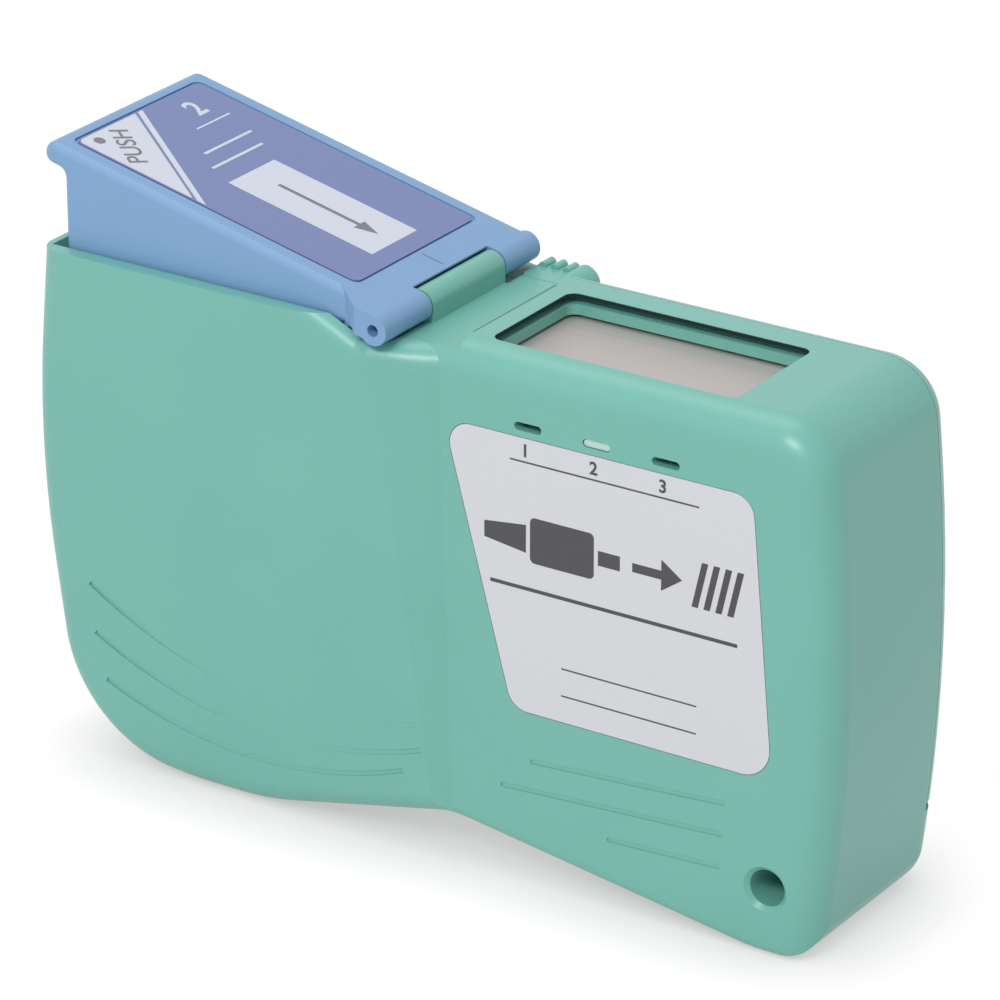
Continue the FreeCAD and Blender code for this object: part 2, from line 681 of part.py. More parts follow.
def lever():
    solid = prism(rounded_wire(lever_side()), -grip_half_depth, grip_half_depth).common(lever_plan())
    long_edges = [e for e in solid.Edges
                  if abs(abs(e.CenterOfMass.y) - lever_half_w) < 1e-3 and e.CenterOfMass.z > rim_z + 1.0]
    solid = solid.makeFillet(1.2, long_edges)
    solid = solid.cut(shoulder_relief())
    solid = solid.fuse(rod(hinge_x, hinge_z, knuckle_r, -grip_half_depth, lever_half_w))
    under = lever_top_t / math.cos(lever_slope)
    inner_x = lever_end_x + lever_wall
    end_x = hinge_x - 4.65
    hollow = rounded_wire([(inner_x, lever_foot_z - 10, 0), (inner_x, lever_top(inner_x) - under, 0.8),
                           (end_x, lever_top(end_x) - under, 0.8), (end_x, lever_foot_z - 10, 0)])
    solid = solid.cut(prism(hollow, -lever_half_w + lever_wall, lever_half_w - lever_wall))
    gap = mid_knuckle_half + knuckle_gap
    notch = block(hinge_x - 0.5 * knuckle_r, hinge_x + 10, -gap, gap, hinge_z - 10, hinge_z + 10)
    trough = rod(hinge_x, hinge_z, knuckle_r + knuckle_gap, -gap, gap)
    notch_top = lever_top(hinge_x - knuckle_r) - under
    under_notch = block(end_x - 1, hinge_x + 10, -gap, gap, hinge_z - 10, notch_top)
    bore = rod(hinge_x, hinge_z, hinge_pin_r + running_gap, -60, 60)
    solid = solid.cut([notch, trough, under_notch, bore])
    return solid.cut(lever_panel(-label_t, 1, lever_label_moat)).removeSplitter()


def lever_pin():
    return rod(hinge_x, hinge_z, hinge_pin_r, -grip_half_depth + 2.0, lever_half_w - 0.4)


def lever_spring():
    """Compression spring: half turns of a circle, each tilted so that the next one starts level."""
    top_x = spring_x + spring_coil_r + spring_wire_r
    top_z = lever_top(top_x) - lever_top_t / math.cos(lever_slope) - 0.3 - spring_wire_r
    z = shelf_z + spring_wire_r
    rise = (top_z - z) / (2 * spring_turns)
    halves = []
    for k in range(2 * spring_turns):
        side = 1 if k % 2 == 0 else -1
        start = vec(spring_x + side * spring_coil_r, 0, z + k * rise)
        end = vec(spring_x - side * spring_coil_r, 0, z + (k + 1) * rise)
        section = Part.Face(Part.Wire(Part.makeCircle(spring_wire_r, start, vec(0, 1, 0))))
        axis = (end - start).cross(vec(0, -1, 0))
        halves.append(section.revolve((start + end) * 0.5, axis if axis.z > 0 else axis * -1, 180))
    return halves[0].fuse(halves[1:]).removeSplitter()


# Drive
mesh_angle = math.atan2(take_up_z - hinge_z, take_up_x - hinge_x)
pinion_first = mesh_angle + math.pi


def drive_sector():
    """Toothed arm inside the lever, turning about the lever's hinge."""
    step = 2 * math.pi / sector_teeth
    root_r = sector_r - 1.25 * gear_module
    after = 1
    before = int(math.ceil(math.radians(press_deg) / step)) + 1
    middles = [mesh_angle + (k + 0.5) * step for k in range(-before - 1, after + 1)]
    made = [tooth_edges(hinge_x, hinge_z, sector_r, sector_teeth, m) for m in middles]
    edges = []
    for k, (tooth, start, end) in enumerate(made):
        edges += tooth
        if k + 1 < len(made):
            gap_middle = polar(hinge_x, hinge_z, root_r, middles[k] + step / 2)
            edges.append(Part.Arc(end, gap_middle, made[k + 1][1]).toShape())
    inner_r = 14.0
    first, last = made[0][1], made[-1][2]
    low = polar(hinge_x, hinge_z, inner_r, middles[-1] + step / 2)
    high = polar(hinge_x, hinge_z, inner_r, middles[0] - step / 2)
    edges += [line(last, low), line(low, high), line(high, first)]
    fan = prism(Part.Wire(edges), gear_front_y, gear_back_y)
    pad_x = hinge_x - 5.2
    far_x = pad_x - 16
    pad = rounded_wire([(pad_x, hinge_z - 15, 0), (pad_x, lever_top(pad_x) - lever_top_t - 0.4, 0),
                        (far_x, lever_top(far_x) - lever_top_t - 0.4, 0), (far_x, lever_foot_z + 1, 0),
                        (far_x + 3, hinge_z - 18, 0)])
    return fan.fuse(prism(pad, gear_front_y, gear_back_y)).removeSplitter()


clutch_r = 4.6
drive_hub_r = 3.0
clutch_y = reel_front_y + 3.2


def drive_gear():
    teeth = gear_solid(take_up_x, take_up_z, pinion_teeth, pinion_first, gear_front_y, gear_back_y)
    hub = rod(take_up_x, take_up_z, drive_hub_r, gear_front_y, clutch_y)
    return teeth.fuse(hub).cut(rod(take_up_x, take_up_z, post_r + running_gap, -60, 60)).removeSplitter()


def one_way_clutch():
    return ring(take_up_x, take_up_z, clutch_r, drive_hub_r + running_gap, reel_front_y + 0.1, clutch_y)


def shutter_arm():
    """Small gear with a long arm whose pin works in the shutter's slot."""
    towards = math.atan2(arm_z - take_up_z, arm_x - take_up_x)
    step = 2 * math.pi / pinion_teeth
    offset = (pinion_first - towards + step / 2) % step - step / 2
    gap_angle = towards + math.pi - offset * pinion_teeth / arm_teeth
    gear = gear_solid(arm_x, arm_z, arm_teeth, gap_angle + math.pi / arm_teeth, arm_gear_y, gear_back_y)
    half_root, half_tip = 2.3, 1.8
    blade = [(arm_x - half_root, arm_z), (arm_x + half_root, arm_z),
             (arm_x + half_tip, arm_z + arm_length), (arm_x - half_tip, arm_z + arm_length)]
    points = [vec(x, arm_front_y, z) for x, z in blade]
    arm = Part.Face(Part.makePolygon(points + points[:1])).extrude(vec(0, arm_back_y - arm_front_y, 0))
    arm = arm.fuse([rod(arm_x, arm_z + arm_length, half_tip, arm_front_y, arm_back_y),
                    rod(arm_x, arm_z + arm_length, arm_pin_r, arm_front_y, tab_y + shutter_t + slide_gap)])
    arm.rotate(vec(arm_x, 0, arm_z), vec(0, 1, 0), math.degrees(arm_swing / 2))
    hub = rod(arm_x, arm_z, post_r + 1.4, arm_gear_y, arm_back_y)
    whole = gear.fuse([arm, hub])
    return whole.cut(rod(arm_x, arm_z, post_r + running_gap, -60, 60)).removeSplitter()


def arm_clip():
    return ring(arm_x, arm_z, post_r + 1.4, post_r, arm_back_y + slide_gap / 2, tab_y + 0.4)


# Shutter
def shutter():
    """Sheet metal plate with a folded tab at its tail for the arm's pin."""
    plate = block(window_x0 - shutter_lap, window_x1 + shutter_lap, window_y0 - shutter_side_lap,
                  window_y1 + shutter_side_lap, shutter_foot_z, shutter_top_z)
    tab_half = 3.6
    tail = block(arm_pin_x - tab_half, window_x0, tab_y, window_y0 + 7, shutter_foot_z, shutter_top_z)
    play = arm_pin_r + 0.6
    tab = block(arm_pin_x - tab_half, arm_pin_x + tab_half, tab_y, tab_y + shutter_t,
                arm_pin_z - play - 1.4, shutter_top_z)
    slot = block(arm_pin_x - play, arm_pin_x + play, tab_y - 1, tab_y + 2,
                 arm_pin_z - play, arm_pin_top_z + play)
    return plate.fuse([tail, tab]).cut(slot).removeSplitter()


guide_right_x = window_x1 + shutter_lap + 2.4
guide_tie_w = 2.6
ledge_w = 1.9
screw_r = 0.9
screw_head_r = 1.5
screw_head_t = 1.0
screw_edge = 1.7
screw_bite = 1.3
screw_seat = 1.1


def screw_places():
    x = guide_right_x + guide_tie_w / 2
    return [(x, guide_y0 + screw_edge), (x, guide_y1 - screw_edge)]


def screw_shanks():
    return [Part.makeCylinder(screw_r, 5.0, vec(x, y, under_top_z - 3.5)) for x, y in screw_places()]


def shutter_guide():
    """Two ledges with outer webs, tied behind the window and by a bridge over the open end."""
    ledge_z1 = shutter_foot_z - slide_gap
    ledge_z0 = ledge_z1 - 1.1
    flange_z = shutter_top_z + slide_gap
    end_x = guide_right_x + guide_tie_w
    open_x = hinge_x - 4.65
    pieces = []
    for ledge, web in (((guide_y0, guide_y0 + ledge_w), (guide_y0, guide_y0 + guide_web)),
                       ((guide_y1 - ledge_w, guide_y1), (guide_y1 - guide_web, guide_y1))):
        pieces.append(block(guide_end_x, end_x, ledge[0], ledge[1], ledge_z0, ledge_z1))
        pieces.append(block(open_x, end_x, web[0], web[1], ledge_z0, under_top_z))
        pieces.append(block(guide_end_x, open_x, web[0], web[1], ledge_z0, flange_z + 1))
        pieces.append(block(guide_end_x, open_x - 1.5, ledge[0], ledge[1], flange_z, flange_z + 1))
    pieces.append(block(guide_end_x, guide_end_x + 3, guide_y0, guide_y1, flange_z, flange_z + 1))
    pieces.append(block(guide_right_x, end_x, guide_y0, guide_y1, ledge_z0, under_top_z))
    guide = pieces[0].fuse(pieces[1:])
    return guide.cut(screw_shanks()).removeSplitter()


def guide_screws():
    """Two pan-head screws that hold the guide up against the window wall."""
    head_z = shutter_foot_z - slide_gap - screw_seat
    solids = []
    for x, y in screw_places():
        shank = Part.makeCylinder(screw_r, under_top_z + screw_bite - head_z, vec(x, y, head_z))
        head = Part.makeCylinder(screw_head_r, screw_head_t, vec(x, y, head_z - screw_head_t))
        solids.append(shank.fuse(head).removeSplitter())
    return Part.makeCompound(solids)


# Tape cassette
def reel(x, z, front_pocket):
    """Moulded reel: hub, two flanges with three windows each, and a boss that turns in the frame."""
    solid = rod(x, z, reel_hub_r, reel_front_y, reel_back_y)
    flanges = [rod(x, z, reel_r, reel_front_y, reel_front_y + flange_t),
               rod(x, z, reel_r, reel_back_y - flange_t, reel_back_y),
               rod(x, z, reel_hub_r / 2, reel_back_y, frame_front_y + frame_t)]
    solid = solid.fuse(flanges)
    windows = []
    for k in range(3):
        angle = math.radians(90 + 120 * k)
        centre = polar(x, z, (reel_hub_r + reel_r) / 2, angle)
        window_r = (reel_r - reel_hub_r) / 2 - 2.2
        windows.append(rod(centre.x, centre.z, window_r, reel_front_y - 1, reel_back_y + 0.1))
    solid = solid.cut(windows)
    solid = solid.cut(rod(x, z, post_r + running_gap, reel_front_y - 1, reel_back_y - 2.5))
    if front_pocket:
        solid = solid.cut(rod(x, z, clutch_r, reel_front_y - 1, clutch_y + 0.2))
    return solid.removeSplitter()


def tape_roll(x, z, r):
    return ring(x, z, r, reel_hub_r, tape_y0, tape_y1)


def tape_run():
    """Tape from the supply roll over the right roller, platen and left roller to the take-up roll."""
    r_in = roller_r + tape_gap
    r_out = r_in + tape_t
    supply_reach = supply_roll_r + 0.3
    dx, dz = right_roller_x - supply_x, roller_z - supply_z
    lean = math.atan2(dz, dx) - math.acos((supply_reach - r_in) / math.hypot(dx, dz))
    wound = take_up_roll_r + 0.3 + tape_t
    ex, ez = take_up_x - left_roller_x, take_up_z - roller_z
    leave = math.atan2(ez, ex) - math.acos((r_in + wound) / math.hypot(ex, ez)) + 2 * math.pi
    over = math.pi / 2

    def right(r, a):
        return polar(right_roller_x, roller_z, r, a)

    def left(r, a):
        return polar(left_roller_x, roller_z, r, a)

    def end(r):
        return polar(take_up_x, take_up_z, r, leave + math.pi)

    start_out = polar(supply_x, supply_z, supply_reach + tape_t, lean)
    start_in = polar(supply_x, supply_z, supply_reach, lean)
    edges = [line(start_out, right(r_out, lean)),
             Part.Arc(right(r_out, lean), right(r_out, (lean + over) / 2), right(r_out, over)).toShape(),
             line(right(r_out, over), left(r_out, over)),
             Part.Arc(left(r_out, over), left(r_out, (over + leave) / 2), left(r_out, leave)).toShape(),
             line(left(r_out, leave), end(wound - tape_t)),
             line(end(wound - tape_t), end(wound)),
             line(end(wound), left(r_in, leave)),
             Part.Arc(left(r_in, leave), left(r_in, (over + leave) / 2), left(r_in, over)).toShape(),
             line(left(r_in, over), right(r_in, over)),
             Part.Arc(right(r_in, over), right(r_in, (lean + over) / 2), right(r_in, lean)).toShape(),
             line(right(r_in, lean), start_in), line(start_in, start_out)]
    return prism(Part.Wire(edges), tape_y0 + 0.2, tape_y1 - 0.2)


frame_left_x = -54.0
frame_right_x = 55.0
frame_foot_x = 46.0
frame_foot_z = 14.0
frame_side_z = 20.0
frame_left_top_z = 48.0
frame_right_top_z = 54.0
frame_gear_top_z = 56.5
frame_roller_x = 50.5
frame_roller_cover = 3.2
frame_step_x = 1.0
frame_slope_x = -8.0
frame_corner_r = 4.0
brake_rim = 3.0
brake_t = 0.7
brake_gap = 0.1
platen_pad_t = 2.2
platen_x0 = 9.0
platen_x1 = 43.0


def cassette_frame():
    """Plate behind the reels with hub bearings, roller axle holes and the shelf for the platen."""
    roller_top_z = roller_z + frame_roller_cover
    corners = [(frame_left_x, frame_side_z), (-frame_foot_x, frame_foot_z), (frame_foot_x, frame_foot_z),
               (frame_right_x, frame_side_z), (frame_right_x, frame_right_top_z),
               (frame_roller_x, roller_top_z), (frame_step_x, roller_top_z),
               (frame_slope_x, frame_gear_top_z), (-frame_foot_x, frame_gear_top_z),
               (frame_left_x, frame_left_top_z)]
    plate = rounded_wire([(x, z, frame_corner_r) for x, z in corners])
    solid = prism(plate, frame_front_y, frame_front_y + frame_t)
    shelf_top = platen_z - platen_pad_t
    shelf_y = reel_front_y + 0.2
    solid = solid.fuse(block(platen_x0, platen_x1, shelf_y, frame_front_y, shelf_top - 2.5, shelf_top))
    bearing_r = reel_hub_r / 2 + running_gap
    holes = [rod(take_up_x, take_up_z, bearing_r, 0, 20), rod(supply_x, supply_z, bearing_r, 0, 20)]
    holes += [rod(x, roller_z, roller_axle_r, 0, 20) for x in (left_roller_x, right_roller_x)]
    return solid.cut(holes).removeSplitter()


def platen_pad():
    return block(platen_x0 + 0.5, platen_x1 - 0.5, tape_y0, tape_y1, platen_z - platen_pad_t, platen_z)


def guide_roller(x):
    """Waisted roller with a rim at each end that keeps the tape on line."""
    y0 = reel_front_y + 0.4
    y1 = reel_back_y - 0.2
    rim_w = 0.8
    rims = [rod(x, roller_z, roller_r + 0.6, y, y + rim_w) for y in (y0, y1 - rim_w)]
    body = rod(x, roller_z, roller_r, y0, y1).fuse(rims)
    return body.cut(rod(x, roller_z, roller_axle_r + running_gap, -60, 60)).removeSplitter()


def roller_axles():
    return Part.makeCompound([rod(x, roller_z, roller_axle_r, reel_front_y + 0.1, frame_front_y + frame_t)
                              for x in (left_roller_x, right_roller_x)])


def brake_washer():
    face_y = reel_front_y - brake_gap
    return ring(supply_x, supply_z, post_r + brake_rim, post_r, face_y - brake_t, face_y)


def build():
    shell = case_shell()
    pieces = {
        "front_case": front_case(shell),
        "rear_cover": rear_cover(shell),
        "window_frame": window_frame(),
        "cover_pin": cover_pin(),
        "front_label": front_label(),
        "type_marker": type_marker(),
        "lever": lever(),
        "lever_label": lever_label(),
        "lever_pin": lever_pin(),
        "lever_spring": lever_spring(),
        "drive_sector": drive_sector(),
        "drive_gear": drive_gear(),
        "one_way_clutch": one_way_clutch(),
        "shutter_arm": shutter_arm(),
        "arm_clip": arm_clip(),
        "shutter": shutter(),
        "shutter_guide": shutter_guide(),
        "guide_screws": guide_screws(),
        "cassette_frame": cassette_frame(),
        "platen_pad": platen_pad(),
        "tape_run": tape_run(),
        "take_up_reel": reel(take_up_x, take_up_z, True),
        "take_up_roll": tape_roll(take_up_x, take_up_z, take_up_roll_r),
        "supply_reel": reel(supply_x, supply_z, False),
        "supply_roll": tape_roll(supply_x, supply_z, supply_roll_r),
        "brake_washer": brake_washer(),
        "guide_roller_left": guide_roller(left_roller_x),
        "guide_roller_right": guide_roller(right_roller_x),
        "roller_axles": roller_axles(),
    }
    ends = shell.optimalBoundingBox()
    middle_x = (ends.XMin + ends.XMax) / 2
    for piece in pieces.values():
        piece.translate(vec(-middle_x, 0, 0))
    return pieces


os.makedirs("parts", exist_ok=True)
for name, shape in build().items():
    shape.exportStep("parts/" + name + ".step")
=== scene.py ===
import math
import bmesh
import bpy
from mathutils import Matrix, Vector


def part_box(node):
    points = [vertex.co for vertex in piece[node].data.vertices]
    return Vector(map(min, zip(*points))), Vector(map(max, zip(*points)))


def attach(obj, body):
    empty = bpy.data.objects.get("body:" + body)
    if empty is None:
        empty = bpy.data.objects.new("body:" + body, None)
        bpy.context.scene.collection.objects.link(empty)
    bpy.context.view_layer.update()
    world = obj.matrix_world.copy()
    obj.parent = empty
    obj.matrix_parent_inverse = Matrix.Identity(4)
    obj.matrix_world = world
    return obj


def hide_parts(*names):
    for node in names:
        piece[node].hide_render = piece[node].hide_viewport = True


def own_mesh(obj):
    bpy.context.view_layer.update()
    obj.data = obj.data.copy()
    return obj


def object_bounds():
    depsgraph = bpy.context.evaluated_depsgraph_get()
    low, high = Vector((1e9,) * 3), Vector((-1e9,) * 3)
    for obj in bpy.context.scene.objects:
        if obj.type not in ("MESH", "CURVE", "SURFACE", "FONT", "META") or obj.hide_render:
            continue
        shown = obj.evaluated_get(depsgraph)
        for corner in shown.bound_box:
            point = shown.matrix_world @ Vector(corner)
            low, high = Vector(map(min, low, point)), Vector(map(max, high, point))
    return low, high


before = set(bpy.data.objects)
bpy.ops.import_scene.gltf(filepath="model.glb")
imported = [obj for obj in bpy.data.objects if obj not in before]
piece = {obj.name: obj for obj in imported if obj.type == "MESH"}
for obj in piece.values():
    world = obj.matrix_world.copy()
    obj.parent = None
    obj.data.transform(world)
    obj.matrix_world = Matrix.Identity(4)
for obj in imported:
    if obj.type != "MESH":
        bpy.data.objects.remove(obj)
cad_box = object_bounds()


# --- Case halves ------------------------------------------------------------------------------
# Front case, rear cover and window frame are moulded in pale green ABS with a finely spark-eroded skin.
# The front half carries everything; the cover closes it from behind on a steel hinge pin at the foot.
mm = 0.001
case_green = (0.158, 0.452, 0.386, 1)
case_green_pale = (0.190, 0.492, 0.423, 1)
case_rough = (0.28, 0.40)
flow_scale, flow_detail = 38.0, 3.0
grain_detail, grain_rough = 3.0, 0.6
grain_tone = (0.97, 1.03)
plastic_ior = 1.5


def new_group(name, inputs, outputs):
    tree = bpy.data.node_groups.new(name, "ShaderNodeTree")
    for label, kind, value in inputs:
        tree.interface.new_socket(label, in_out="INPUT", socket_type=kind).default_value = value
    for label, kind in outputs:
        tree.interface.new_socket(label, in_out="OUTPUT", socket_type=kind)
    return tree, tree.nodes.new("NodeGroupInput"), tree.nodes.new("NodeGroupOutput")


def math_node(tree, operation, first, second=None, clamp=False):
    node = tree.nodes.new("ShaderNodeMath")
    node.operation = operation
    node.use_clamp = clamp
    for socket, value in zip(node.inputs, (first, second)):
        if isinstance(value, (int, float)):
            socket.default_value = value
        elif value is not None:
            tree.links.new(value, socket)
    return node.outputs[0]


def noise_node(tree, place, scale, detail=2.0, rough=0.5):
    node = tree.nodes.new("ShaderNodeTexNoise")
    tree.links.new(place, node.inputs["Vector"])
    if isinstance(scale, (int, float)):
        node.inputs["Scale"].default_value = scale
    else:
        tree.links.new(scale, node.inputs["Scale"])
    node.inputs["Detail"].default_value = detail
    node.inputs["Roughness"].default_value = rough
    return node.outputs["Fac"]


def spread(tree, value, low, high):
    node = tree.nodes.new("ShaderNodeMapRange")
    tree.links.new(value, node.inputs["Value"])
    for socket, limit in ((node.inputs["To Min"], low), (node.inputs["To Max"], high)):
        if isinstance(limit, (int, float)):
            socket.default_value = limit
        else:
            tree.links.new(limit, socket)
    return node.outputs["Result"]


def mix_colour(tree, mask, first, second, blend="MIX"):
    node = tree.nodes.new("ShaderNodeMix")
    node.data_type = "RGBA"
    node.blend_type = blend
    for label, value in (("Factor", mask), ("A", first), ("B", second)):
        if isinstance(value, (int, float, tuple)):
            node.inputs[label].default_value = value
        else:
            tree.links.new(value, node.inputs[label])
    return node.outputs["Result"]


def moulded_skin_group():
    """Slow drift between two tones from the melt flow, and the fine grain of the mould's surface."""
    tree, given, result = new_group(
        "moulded_skin",
        [("Colour", "NodeSocketColor", (0.5, 0.5, 0.5, 1)), ("Pale", "NodeSocketColor", (0.6, 0.6, 0.6, 1)),
         ("Grain Scale", "NodeSocketFloat", 2600.0), ("Rough Low", "NodeSocketFloat", 0.36),
         ("Rough High", "NodeSocketFloat", 0.50)],
        [("Colour", "NodeSocketColor"), ("Roughness", "NodeSocketFloat"), ("Height", "NodeSocketFloat")])
    place = tree.nodes.new("ShaderNodeTexCoord").outputs["Object"]
    flow = noise_node(tree, place, flow_scale, flow_detail)
    grain = noise_node(tree, place, given.outputs["Grain Scale"], grain_detail, grain_rough)
    tone = tree.nodes.new("ShaderNodeVectorMath")
    tone.operation = "SCALE"
    tree.links.new(mix_colour(tree, flow, given.outputs["Colour"], given.outputs["Pale"]), tone.inputs[0])
    tree.links.new(spread(tree, grain, *grain_tone), tone.inputs["Scale"])
    tree.links.new(tone.outputs[0], result.inputs["Colour"])
    tree.links.new(spread(tree, grain, given.outputs["Rough Low"], given.outputs["Rough High"]),
                   result.inputs["Roughness"])
    tree.links.new(grain, result.inputs["Height"])
    return tree


moulded_skin = moulded_skin_group()


def new_material(name):
    material = bpy.data.materials.new(name)
    material.use_nodes = True
    tree = material.node_tree
    return material, tree, tree.nodes["Principled BSDF"]


def place_group(tree, group, **values):
    node = tree.nodes.new("ShaderNodeGroup")
    node.node_tree = group
    for label, value in values.items():
        node.inputs[label.replace("_", " ")].default_value = value
    return node


def add_bump(tree, shader, height, distance, strength=1.0):
    bump = tree.nodes.new("ShaderNodeBump")
    bump.inputs["Distance"].default_value = distance
    bump.inputs["Strength"].default_value = strength
    tree.links.new(height, bump.inputs["Height"])
    tree.links.new(bump.outputs["Normal"], shader.inputs["Normal"])


def moulded_plastic(name, colour, pale, rough=(0.36, 0.50), grain=2600.0, depth=0.000012):
    material, tree, shader = new_material(name)
    skin = place_group(tree, moulded_skin, Colour=colour, Pale=pale, Grain_Scale=grain,
                       Rough_Low=rough[0], Rough_High=rough[1])
    tree.links.new(skin.outputs["Colour"], shader.inputs["Base Color"])
    tree.links.new(skin.outputs["Roughness"], shader.inputs["Roughness"])
    shader.inputs["IOR"].default_value = plastic_ior
    add_bump(tree, shader, skin.outputs["Height"], depth)
    return material


def finish_with(material, *names):
    for name in names:
        for slot in piece[name].material_slots:
            slot.material = material


case_plastic = moulded_plastic("case_green_plastic", case_green, case_green_pale, case_rough)
finish_with(case_plastic, "front_case", "rear_cover", "window_frame")


# --- Finger tab end ---------------------------------------------------------------------------
# Rounded right end of the ribbed tab that opens the rear cover, moulded in one with the cover.
# Its back edge is eased, so that the nail slips under the tab.
tab_land, tab_end_left, tab_end_mid = 70.45, 1.6, 2.90
tab_end_foot, tab_end_r, tab_end_buried = 68.85, 2.40, 0.2
tab_end_ramp = ((tab_end_left, tab_land), (2.0, 70.68), (2.4, 71.02), (2.7, 71.20))
tab_end_arc_steps = 12
tab_end_sharp = math.radians(40)
# y of each cross-section, how much of its height it has, and how far its round is drawn in
tab_end_sections = (
    (11.8, 0.0, 0.0), (12.4, 0.30, 0.0), (13.2, 0.72, 0.0), (14.0, 0.94, 0.0), (14.8, 1.0, 0.0),
    (17.2, 1.0, 0.0), (17.6, 1.0, 0.08), (17.85, 1.0, 0.28), (17.95, 1.0, 0.55))


def tab_end_profile(rise, inset):
    """Low ramp on the left and a quarter round on the right, both flattened to the land by a small rise."""
    points = [(x, z - inset) for x, z in tab_end_ramp]
    r = tab_end_r - inset
    for k in range(tab_end_arc_steps + 1):
        angle = math.radians(90 - 90 * k / tab_end_arc_steps)
        points.append((tab_end_mid + r * math.cos(angle), tab_end_foot + r * math.sin(angle)))
    points = [(x, min(z, tab_land + rise * max(z - tab_land, 0))) for x, z in points]
    buried_z = tab_end_foot - tab_end_buried
    return points + [(tab_end_mid, buried_z), (tab_end_left, buried_z)]


def skin_between(work, rings):
    """Smooth walls from each ring of corners to the next one."""
    for near, far in zip(rings, rings[1:]):
        for i in range(len(near)):
            work.faces.new((near[i - 1], near[i], far[i], far[i - 1])).smooth = True


def put_piece(name, work, material):
    """Puts a finished mesh into the scene as a piece of one material."""
    bmesh.ops.recalc_face_normals(work, faces=work.faces)
    mesh = bpy.data.meshes.new(name)
    work.to_mesh(mesh)
    work.free()
    mesh.materials.append(material)
    new_piece = bpy.data.objects.new(name, mesh)
    bpy.context.scene.collection.objects.link(new_piece)
    return new_piece


tab_end_work = bmesh.new()
tab_end_rings = [
    [tab_end_work.verts.new((x * mm, y * mm, z * mm)) for x, z in tab_end_profile(rise, inset)]
    for y, rise, inset in tab_end_sections]
skin_between(tab_end_work, tab_end_rings)
tab_end_work.faces.new(tab_end_rings[0])
tab_end_work.faces.new(tab_end_rings[-1])
tab_end = put_piece("tab_end", tab_end_work, case_plastic)
tab_end.data.set_sharp_from_angle(angle=tab_end_sharp)
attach(tab_end, "cover")


# --- Small steel parts ------------------------------------------------------------------------
# Hinge pins, roller axles, clip and screws, all of bright steel wire and rod.
# They are drawn through a die, so fine lines run along them; each is pressed, snapped or screwed
# into the plastic.
bright_steel, spring_grey = (0.56, 0.56, 0.57, 1), (0.50, 0.50, 0.52, 1)
pin_rough, spring_rough = (0.22, 0.40), (0.20, 0.36)
line_detail, line_rough, line_tone, line_depth = 3.0, 0.6, 0.10, 0.000006
stain_scale, stain_detail, stain_tone = 120.0, 2.0, (0.96, 1.04)
lines_along_x, lines_along_y = (60.0, 5000.0, 5000.0), (5000.0, 60.0, 5000.0)
lines_on_coil = (900.0, 900.0, 2600.0)


def drawn_lines_group():
    """Fine lines left by drawing, rolling or brushing, long in the direction with the small scale."""
    tree, given, result = new_group(
        "drawn_lines", [("Colour", "NodeSocketColor", (0.5, 0.5, 0.5, 1)),
                        ("Line Scale", "NodeSocketVector", lines_along_x),
                        ("Rough Low", "NodeSocketFloat", 0.25), ("Rough High", "NodeSocketFloat", 0.45)],
        [("Colour", "NodeSocketColor"), ("Roughness", "NodeSocketFloat"), ("Height", "NodeSocketFloat")])
    place = tree.nodes.new("ShaderNodeTexCoord").outputs["Object"]
    stretched = tree.nodes.new("ShaderNodeVectorMath")
    stretched.operation = "MULTIPLY"
    tree.links.new(place, stretched.inputs[0])
    tree.links.new(given.outputs["Line Scale"], stretched.inputs[1])
    lines = noise_node(tree, stretched.outputs[0], 1.0, line_detail, line_rough)
    stain = noise_node(tree, place, stain_scale, stain_detail)
    tone = tree.nodes.new("ShaderNodeVectorMath")
    tone.operation = "SCALE"
    tree.links.new(given.outputs["Colour"], tone.inputs[0])
    shade = math_node(tree, "ADD", spread(tree, lines, -line_tone, line_tone),
                      spread(tree, stain, *stain_tone))
    tree.links.new(shade, tone.inputs["Scale"])
    tree.links.new(tone.outputs[0], result.inputs["Colour"])
    tree.links.new(spread(tree, lines, given.outputs["Rough Low"], given.outputs["Rough High"]),
                   result.inputs["Roughness"])
    tree.links.new(lines, result.inputs["Height"])
    return tree


drawn_lines = drawn_lines_group()


def lined_steel(name, colour, line_scale, rough):
    material, tree, shader = new_material(name)
    lines = place_group(tree, drawn_lines, Colour=colour, Line_Scale=line_scale,
                        Rough_Low=rough[0], Rough_High=rough[1])
    tree.links.new(lines.outputs["Colour"], shader.inputs["Base Color"])
    tree.links.new(lines.outputs["Roughness"], shader.inputs["Roughness"])
    shader.inputs["Metallic"].default_value = 1.0
    add_bump(tree, shader, lines.outputs["Height"], line_depth)
    return material


pin_steel = lined_steel("drawn_pin_steel", bright_steel, lines_along_y, pin_rough)
finish_with(pin_steel, "lever_pin", "roller_axles", "arm_clip")
cover_pin_steel = lined_steel("drawn_cover_pin_steel", bright_steel, lines_along_x, pin_rough)
finish_with(cover_pin_steel, "cover_pin")
spring_steel = lined_steel("coiled_spring_steel", spring_grey, lines_on_coil, spring_rough)
finish_with(spring_steel, "lever_spring", "guide_screws")


